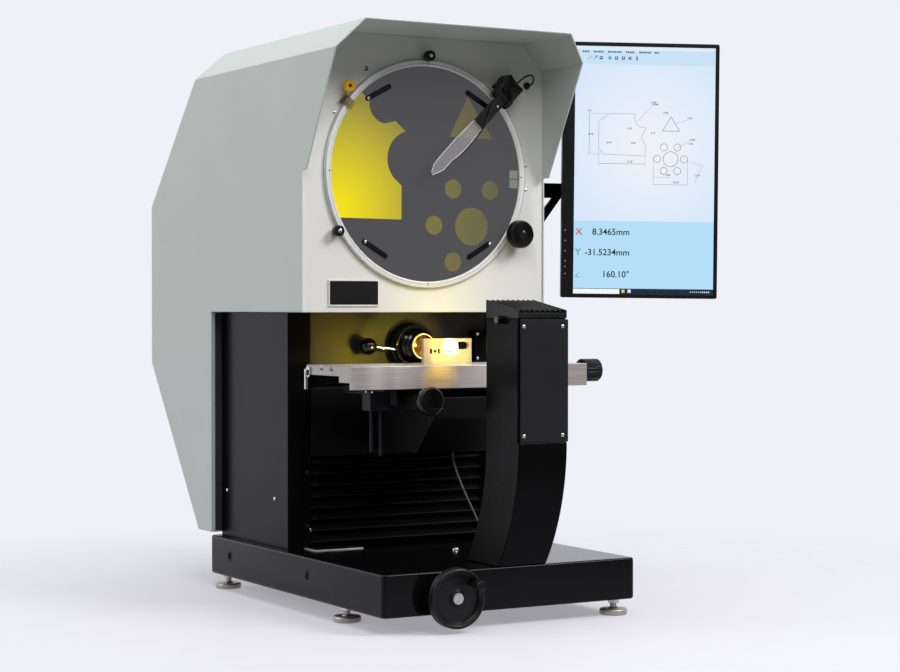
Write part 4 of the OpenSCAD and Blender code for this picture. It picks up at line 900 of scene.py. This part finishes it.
PLATE_SLOTS = [(-24, 5, 9), (-16, 6, 5), (-7, 4, 9)]  # left end, width, height
PLATE_SLOTS_Z = 473.0
PLATE_SLOTS_OUT = 57.1
TABLE_END = -229.0
LUG_CENTRE = (27, 434)
LUG_R = 7.5
LUG_THICKNESS = (0.1, 3)
LUG_TAB = ((-232, 20, 434), (-229.1, 34, 445))
LUG_SCREW = (-232, 27, 433)
SCALE_BAR = ((-231, 38.2, 404), (-226, 43, 441))
SCALE_BAR_LIP = ((-231, 37, 436), (-226, 38.4, 441))
SLAT = ((-165.4, -60, 398), (-163.2, 16, 399.8))
SLATS = 4
SLAT_STEP = 3.6
SLIDE_SCREWS = [(-163.4, -96, 402), (-163.4, -72, 402)]


def on_table_end(u, v, out):
    """A point at y = u, z = v, out from the table's left end."""
    return Vector((TABLE_END - out, u, v))


def make_table_trim():
    """Small fittings at the table's left end, and slots in the test plate."""
    slots = Shape()
    for u, w, h in PLATE_SLOTS:
        corners = rectangle(u, PLATE_SLOTS_Z - h / 2, u + w, PLATE_SLOTS_Z + h / 2)
        slots.flat(corners, on_front, PLATE_SLOTS_OUT)
    place("test_plate_slots", slots.bm, "black_ink", "table")
    lug = Shape().slab(circle(*LUG_CENTRE, LUG_R, 32), on_table_end, *LUG_THICKNESS)
    lug.block(*LUG_TAB)
    place("table_end_lug", lug.bm, "zinc_steel", "table", edge=0.6)
    one_screw("table_lug_screw", LUG_SCREW, LEFT, 3.6, 2.4, "table", "black_screw")
    bar = Shape().block(*SCALE_BAR).block(*SCALE_BAR_LIP)
    place("table_scale_bar", bar.bm, "zinc_steel", "table", edge=0.4)
    slats = Shape()
    for k in range(SLATS):
        slats.block(*(Vector(corner) + Vector(UP) * SLAT_STEP * k for corner in SLAT))
    place("slide_wiper_slats", slats.bm, "black_plastic", "focus_slide", edge=0.3)
    screws = Shape()
    for base in SLIDE_SCREWS:
        screw_head(screws, base, LEFT, 2.6, 2)
    place("slide_screws", screws.bm, "steel_screw", "focus_slide", angle=SCREW_ANGLE)


# Trim of panel, lens, cabinet and base

PANEL_PLATE = ((-204, 555.5, -101, 603.5), (-201.5, 558.5, -102.8, 601.7), on_front, 3.0)
BASE_PLATE = ((-203, 54, -104, 102), (-201, 57, -105.5, 101), on_base, 1.6)
GROMMET = (220, 0, 977)
GROMMET_PROFILE = [(1.9, 0.2), (1.9, 4), (4.5, 4), (6.5, 2.5), (7, 0.1)]
BUSH = (-126.5, 0, 990.9)
BUSH_PROFILE = [(1.8, 0.1), (1.8, 1.4), (3.4, 1.4), (4.2, 0.6), (4.2, 0.05)]
# A gold ring round the lens glass: its gold is a painted reflection of the lamp's yellow light on the barrel's
# black rim.
LENS_GLINT_PROFILE = [(0, 0.1), (0, 0.8), (1.8, 0.8), (2.2, 0.1)]  # beyond the glass's edge
# A dark grey strip on the front face of the hood's side shroud, beside the cabinet.
SHROUD_STRIP = ((236.3, 404.6, 114), (250.5, 406.8, 543))  # the right one; the left one mirrors it
BUNG_PROFILE = [(6.3, -6), (6.3, -3), (5, -3.4), (0, -3.6)]
BUNG_Y = (-22, 321)
BUNG_Z = 70.0
BASE_BOLT = (34, -50, BASE_TOP)
ROLLER_CAP_PROFILE = [(0, 1.6), (2.0, 1.5), (3.4, 0.9), (3.8, 0)]
ROLLER_DEGREES = (90, 210)
ROLLER_OUT = 20.2


def name_plate(name, rim, face, where, thick):
    """A bare black plate in a bright rim."""
    plate = Shape().slab(rectangle(*rim), where, 0.05, thick)
    place(name + "_rim", plate.bm, "ring_aluminium", "machine", edge=0.3)
    plate = Shape().slab(rectangle(*face), where, thick, thick + 0.3)
    place(name + "_face", plate.bm, "name_plate", "machine", edge=0.1)


def make_trim():
    name_plate("panel_plate", *PANEL_PLATE)
    name_plate("base_plate", *BASE_PLATE)
    grommet = Shape().lathe(GROMMET_PROFILE, GROMMET, FORWARD)
    place("cable_grommet", grommet.bm, "rubber", "machine")
    bush = Shape().lathe(BUSH_PROFILE, BUSH, FORWARD, 28)
    place("panel_bush", bush.bm, "rubber", "machine")
    low, high = box_of("lens_glass")
    profile = [((high.x - low.x) / 2 + r, h) for r, h in LENS_GLINT_PROFILE]
    ring = Shape().lathe(profile, (AXIS_X, front_of("lens_barrel").y, AXIS_Z), FORWARD, 48)
    # The gold here is painted reflection, not the barrel's own colour.
    place("lens_glint_ring", ring.bm, "plate_metal", "machine")
    strips, bungs = Shape(), Shape()
    for side in (-1, 1):
        strips.block(*((side * x, y, z) for x, y, z in SHROUD_STRIP))
        for y in BUNG_Y:
            bungs.lathe(BUNG_PROFILE, (side * BASE_HALF_W, y, BUNG_Z), (side, 0, 0), 28)
    place("shroud_strips", strips.bm, "strip_paint", "machine", edge=0.5)
    place("lift_hole_bungs", bungs.bm, "rubber", "machine")
    one_screw("base_bolt", BASE_BOLT, UP, 6, 4.5, "machine")
    caps = Shape()
    for degree in ROLLER_DEGREES:
        a = math.radians(degree)
        base = on_screen(ROLLER_CIRCLE_R * math.cos(a), ROLLER_CIRCLE_R * math.sin(a), ROLLER_OUT)
        caps.lathe(ROLLER_CAP_PROFILE, base, FORWARD, 24)
    place("roller_caps", caps.bm, "steel_screw", "machine")


# The display's picture, in millimetres right and down from its corner

PICTURE_LEFT = -131.0
PICTURE_TOP = 242.5
PICTURE_W = 278.0
PICTURE_H = 485.0
PICTURE_OUT = DISPLAY_FRONT - 0.85
LAYER_STEP = 0.04
PICTURE_INK = {
    "paper": (217, 234, 253), "white": (248, 250, 252), "menu": (203, 229, 249), "band": (183, 226, 252),
    "title": (224, 239, 251), "navy": (26, 50, 96), "slate": (22, 32, 44), "line": (120, 134, 152),
    "red": (214, 52, 60), "green": (70, 176, 122), "blue": (70, 118, 206), "cyan": (60, 178, 210),
    "maroon": (132, 34, 52), "bar": (26, 44, 66), "amber": (242, 190, 62),
}
PAPER_MIDDLE = (237, 244, 253)
PAPER_BRIGHTEST = (150, 195)
PAPER_FADE = (40, 200)

MENU_H = 35.0
TITLE_H = 7.0
BAND_TOP = 342.0
BAR_TOP = 474.5
AREAS = [
    (rectangle(0, 0, PICTURE_W, PICTURE_H), "paper", 0),
    (rectangle(0, 0, PICTURE_W, TITLE_H), "title", 1),
    (rectangle(0, TITLE_H, PICTURE_W, MENU_H), "menu", 1),
    (rectangle(0, BAND_TOP, PICTURE_W, BAR_TOP), "band", 1),
    (rectangle(0, BAR_TOP, PICTURE_W, PICTURE_H), "bar", 1),
    (rectangle(0, 475.5, 91.5, PICTURE_H), "white", 2),
    ([(43, 18), (43, 23), (38.4, 19)], "blue", 2),
    ([(67.9, 18.5), (72.2, 22.7), (67.9, 27), (63.7, 22.7)], "cyan", 2),
]
MENU_WORDS = [(14, 16), (36, 22), (64, 30), (100, 20), (126, 24), (156, 12)]  # left end, width
MENU_LETTER_STEP = 3.4
MENU_LETTER_W = 2.4
MENU_LETTER_Z = (9, 12.6)
ICONS = [
    (50.7, 22.7, "slate"), (81, 22.7, "slate"), (94.5, 22.7, "slate"), (99, 479.6, "amber"),
    (111, 479.6, "white"),
]

OUTLINE = (
    [(69, 131.6), (119.7, 131.6)]
    + arc_through((119.7, 131.6), (120.4, 149.0), (130.2, 157.0), 10)[1:]
    + [(140.7, 158.8), (132, 178), (140, 193.7), (140, 214), (56.7, 211), (47.3, 199), (47.3, 147)]
)
TRIANGLE = [(190.4, 136.1), (174, 164), (207.9, 164)]
BOLT_CIRCLE = (190.4, 219.2)
BOLT_CIRCLE_R = 26.8
BOLT_R = 7.0
BOLTS = 6
HUB_R = 14.7
LINES = [
    ([(24, 25.5), (33, 20)], "red", 1.2),
    ([(36, 26), (41, 20)], "blue", 1.2),
    ([(104.5, 19.5), (110.5, 26)], "maroon", 1.8),
    ([(110.5, 19.5), (104.5, 26)], "maroon", 1.8),
    ([(121.5, 18.5), (121.5, 27)], "slate", 2.2),
    ([(28.7, 131.6), (28.7, 211)], "green", 0.9),
    ([(25, 131.6), (66, 131.6)], "line", 0.4),
    ([(25, 211), (54, 211)], "line", 0.4),
    ([(47.3, 229.6), (140, 229.6)], "green", 0.9),
    ([(47.3, 202), (47.3, 233)], "line", 0.4),
    ([(140, 217), (140, 233)], "line", 0.4),
    ([(156.5, 221), (156.5, 269.4), (224.7, 269.4), (224.7, 221)], "line", 0.6),
    ([(156.5, 255), (190.4, 255)], "green", 0.6),
    ([(204, 196), (228, 184)], "line", 0.5),
    ([(230, 224), (254, 232), (246, 250), (238, 268)], "line", 0.5),
    ([(196, 150), (222, 142)], "line", 0.5),
    ([(124, 146), (152, 116)], "line", 0.5),
    ([(4, 452.5), (14, 452.5)], "green", 1.2),
    ([(4, 452.5), (11, 443)], "green", 1.2),
]
# The clock, as dashes
LINES += [([(x, 480), (x + 2.4, 480)], "white", 1.4 if x < 256 else 2.4) for x in range(232, 272, 4)]
DIMENSIONS = [
    (152, 114, "30.000"), (26, 174, "27.02"), (104, 227, "31.50"), (222, 140, "15.00"), (228, 182, "4.000"),
    (196, 266.5, "25.00"), (174, 130, "14.85"), (112, 190, "8.00"), (24, 128, "12.5"), (62, 190, "20.00"),
    (104, 162, "6.50"), (150, 170, "4.10"), (226, 190, "5.00"), (182, 252, "8.20"), (238, 252, "12.00"),
    (150, 110, "12.60"),
]
DIMENSION_H = 3.6

AXES = [(3.5, 369.5, "X", "red"), (3, 409.5, "Y", "green")]
AXIS_H = 13.3
READINGS = [(369.5, "8.3465mm"), (409.5, "-31.5234mm"), (452.5, "160.10\u00b0")]
READING_H = 12.8
READING_RIGHT = 111.0
FIGURE_WEIGHT = 0.018

BUTTONS = [(-147.8, v) for v in (-118.7, -139, -158.9, -178.8, -190, -204)]
BUTTON_R = 1.6


class Picture:
    """Lines and figures of light on the display."""

    def __init__(self):
        self.shape = Shape()
        self.inks = list(PICTURE_INK)

    def at(self, x, y, out):
        return on_display(PICTURE_LEFT + x, PICTURE_TOP - y, out)

    def area(self, points, ink, layer):
        self.shape.flat(points, self.at, PICTURE_OUT + LAYER_STEP * layer, self.inks.index(ink))

    def line(self, points, ink="line", width=0.7, closed=False):
        ends = points[1:] + points[:1] if closed else points[1:]
        for (ax, ay), (bx, by) in zip(points, ends):
            length = math.hypot(bx - ax, by - ay)
            nx, ny = width / 2 * (by - ay) / length, width / 2 * (ax - bx) / length
            corners = [(ax + nx, ay + ny), (bx + nx, by + ny), (bx - nx, by - ny), (ax - nx, ay - ny)]
            self.area(corners, ink, 3)

    def figures(self, words, height, x, y, ink="slate", align="RIGHT"):
        first = len(self.shape.bm.faces)
        out = PICTURE_OUT + LAYER_STEP * 4
        self.shape.text(words, height, self.upright, out, x, -y, align, FIGURE_WEIGHT)
        self.shape.bm.faces.ensure_lookup_table()
        for face in self.shape.bm.faces[first:]:
            face.material_index = self.inks.index(ink)

    def upright(self, x, up, out):
        return self.at(x, -up, out)


def make_inks():
    """One material of light for each ink; the paper is brighter in its middle."""
    for ink, colour in PICTURE_INK.items():
        made = Finish("picture_" + ink, srgb(*(0.08 * c for c in colour)), 0.3, 0.0, 0.2).mottle(20, 0.05)
        light = srgb(*colour)
        if ink == "paper":
            x, y = PAPER_BRIGHTEST
            middle = on_display(PICTURE_LEFT + x, PICTURE_TOP - y, DISPLAY_FRONT)
            light = made.mix(made.away(middle, *PAPER_FADE), srgb(*PAPER_MIDDLE), light)
        made.glow(light, 0.96)


def draw_window(picture):
    """The bars of the window, with marks for the words and icons in them, and all open lines."""
    for points, ink, layer in AREAS:
        picture.area(points, ink, layer)
    for points, ink, width in LINES:
        picture.line(points, ink, width)
    top, bottom = MENU_LETTER_Z
    for left, width in MENU_WORDS:
        for k in range(int(width / MENU_LETTER_STEP)):
            x = left + MENU_LETTER_STEP * k
            picture.area(rectangle(x, top + (k % 3) * 0.4, x + MENU_LETTER_W, bottom), "navy", 2)
    for x, y, ink in ICONS:
        picture.area(rectangle(x - 3, y - 3, x + 3, y + 3), ink, 2)
        picture.area(rectangle(x - 1.6, y - 1.6, x + 1.6, y + 1), "menu", 3)


def draw_drawing(picture):
    """The measured outline, triangle and bolt circle, with their dimensions."""
    picture.line(OUTLINE, closed=True)
    picture.line(TRIANGLE, "blue", 1.0, closed=True)
    picture.line(circle(*BOLT_CIRCLE, HUB_R), "slate", 0.8, closed=True)
    for x, y in circle(*BOLT_CIRCLE, BOLT_CIRCLE_R, BOLTS):
        picture.line(circle(x, y, BOLT_R, 24), "slate", 0.8, closed=True)
    for x, y, words in DIMENSIONS:
        picture.figures(words, DIMENSION_H, x, y, "slate", "LEFT")


def draw_readings(picture):
    for x, y, letter, ink in AXES:
        picture.figures(letter, AXIS_H, x, y, ink, "LEFT")
    for y, words in READINGS:
        picture.figures(words, READING_H, READING_RIGHT, y)


def make_display_image():
    make_inks()
    picture = Picture()
    draw_window(picture)
    draw_drawing(picture)
    draw_readings(picture)
    inks = ["picture_" + ink for ink in PICTURE_INK]
    place("display_picture", picture.shape.bm, inks, "display")

    lamps = Shape()
    for u, v in BUTTONS:
        lamps.flat(circle(u, v, BUTTON_R, 20), on_display, DISPLAY_FRONT + 0.08)
    place("display_buttons", lamps.bm, "display_mark", "display")


# Surroundings

WORLD_PALE = (*srgb(240, 241, 248), 1.0)
WORLD_LIGHT = (0.96, 0.98, 1.0, 1.0)
WORLD_LIGHT_STRENGTH = 0.11
MIRRORED_STRENGTH = (0.25, 1.0)  # in front of the object, behind it
MIRRORED_TURN = (-0.5, 0.3)
FLOOR_R = 2400.0
FLOOR_Z = -0.2
FLOOR_FADE = (500, 1500)
FLOOR_GLOW = 0.42

# Name, place, target, width, watts; metres.
SOFT_LIGHTS = [
    ("key", (2.3, -2.9, 3.4), (0, 0, 0.7), 1.8, 154),
    ("front", (-1.2, -3.4, 3.6), (0, 0, 0.6), 2.4, 80),
    ("back", (-2.6, 4.4, 1.2), (0, 0.2, 0.5), 3.2, 14),
    ("top", (0.0, 0.3, 3.6), (0, 0.2, 0.5), 3.0, 62),
    ("side", (-4.4, 1.6, 2.4), (0, 0.3, 0.6), 2.6, 69),
]
LAMP = (AXIS_X, -262, AXIS_Z)
# Name, place, target, cone in degrees, its soft share, watts, colour, radius; millimetres.
SPOT_LIGHTS = [
    ("lamp_beam", LAMP, (AXIS_X + 4, 0, AXIS_Z), 9.8, 0.12, 14.0, (1.0, 0.92, 0.5), 4),
    ("lamp_spill", LAMP, (AXIS_X, 0, AXIS_Z - 6), 26, 0.4, 1.3, (1.0, 0.74, 0.16), 4),
    ("lip_spill", (-6, -240, 470), (-46, -142, 430), 40, 1.0, 0.4, (1.0, 0.62, 0.0), 4),
    ("lens_glow", (AXIS_X, -44, AXIS_Z + 4), (AXIS_X - 6, 60, AXIS_Z), 70, 0.4, 0.8, (1.0, 0.78, 0.08), 4),
    ("wall_glow", (-30, -50, 456), (-150, 103, 488), 66, 0.9, 3.2, (1.0, 0.72, 0.02), 12),
    ("panel_glow", (20, -110, 500), (20, 0, 585), 130, 1.0, 0.36, (1.0, 0.78, 0.1), 45),
]


def make_world():
    """Pale behind the object and dim in front of it in reflections; even and weak as light."""
    world = SCENE.world or bpy.data.worlds.new("world")
    SCENE.world = world
    world.use_nodes = True
    tree = world.node_tree
    tree.nodes.clear()
    path = add_node(tree, "ShaderNodeLightPath").outputs
    direction = add_node(tree, "ShaderNodeTexCoord").outputs["Generated"]
    ahead = add_node(tree, "ShaderNodeSeparateXYZ", direction).outputs["Y"]
    level = span(tree, ahead, *MIRRORED_STRENGTH, *MIRRORED_TURN)
    seen = add_node(tree, "ShaderNodeBackground", WORLD_PALE, 1.0).outputs[0]
    mirrored = add_node(tree, "ShaderNodeBackground", WORLD_PALE, level).outputs[0]
    light = add_node(tree, "ShaderNodeBackground", WORLD_LIGHT, WORLD_LIGHT_STRENGTH).outputs[0]
    shiny = combine(tree, "MAXIMUM", path["Is Glossy Ray"], path["Is Transmission Ray"])
    around = add_node(tree, "ShaderNodeMixShader", shiny, light, mirrored).outputs[0]
    both = add_node(tree, "ShaderNodeMixShader", path["Is Camera Ray"], around, seen).outputs[0]
    add_node(tree, "ShaderNodeOutputWorld", both)


def make_floor():
    """A pale floor that fades into the background a little way off."""
    floor = Finish("floor", srgb(178, 177, 184), 0.6, 0.0, 0.1)
    floor.mottle(3, 0.01)
    floor.put("Alpha", floor.span(floor.away(Vector((0, 0, 0)), *FLOOR_FADE), 1.0, 0.0, 0.0, 1.0))
    path = floor.node("ShaderNodeLightPath").outputs
    bounced = combine(floor.tree, "MAXIMUM", path["Is Glossy Ray"], path["Is Transmission Ray"])
    looked_at = combine(floor.tree, "MAXIMUM", path["Is Camera Ray"], bounced)
    floor.glow(srgb(229, 227, 236), floor.span(looked_at, 0.0, FLOOR_GLOW, 0.0, 1.0))
    disc = Shape().lathe([(0, 0), (FLOOR_R, 0)], (0, 0, FLOOR_Z), UP, 96)
    place("floor", disc.bm, "floor")


def aim(data, place_at, target):
    """Puts a light in the scene, looking from one point at another."""
    light = bpy.data.objects.new(data.name, data)
    light.location = place_at
    light.rotation_euler = (Vector(target) - Vector(place_at)).to_track_quat("-Z", "Y").to_euler()
    SCENE.collection.objects.link(light)


def make_lights():
    for name, place_at, target, size, power in SOFT_LIGHTS:
        data = bpy.data.lights.new(name, "AREA")
        data.size = size
        data.energy = power
        aim(data, place_at, target)
    for name, place_at, target, cone, blend, power, colour, radius in SPOT_LIGHTS:
        data = bpy.data.lights.new(name, "SPOT")
        data.energy = power
        data.color = colour
        data.spot_size = math.radians(cone)
        data.spot_blend = blend
        data.shadow_soft_size = radius * MM
        aim(data, Vector(place_at) * MM, Vector(target) * MM)


make_camera()
make_cords()
make_machine()
make_screws()
make_screen()
make_sensor()
make_knob_trim()
make_table_trim()
make_trim()
make_display_image()
make_world()
make_floor()
make_lights()
SCENE.view_settings.view_transform = "Standard"
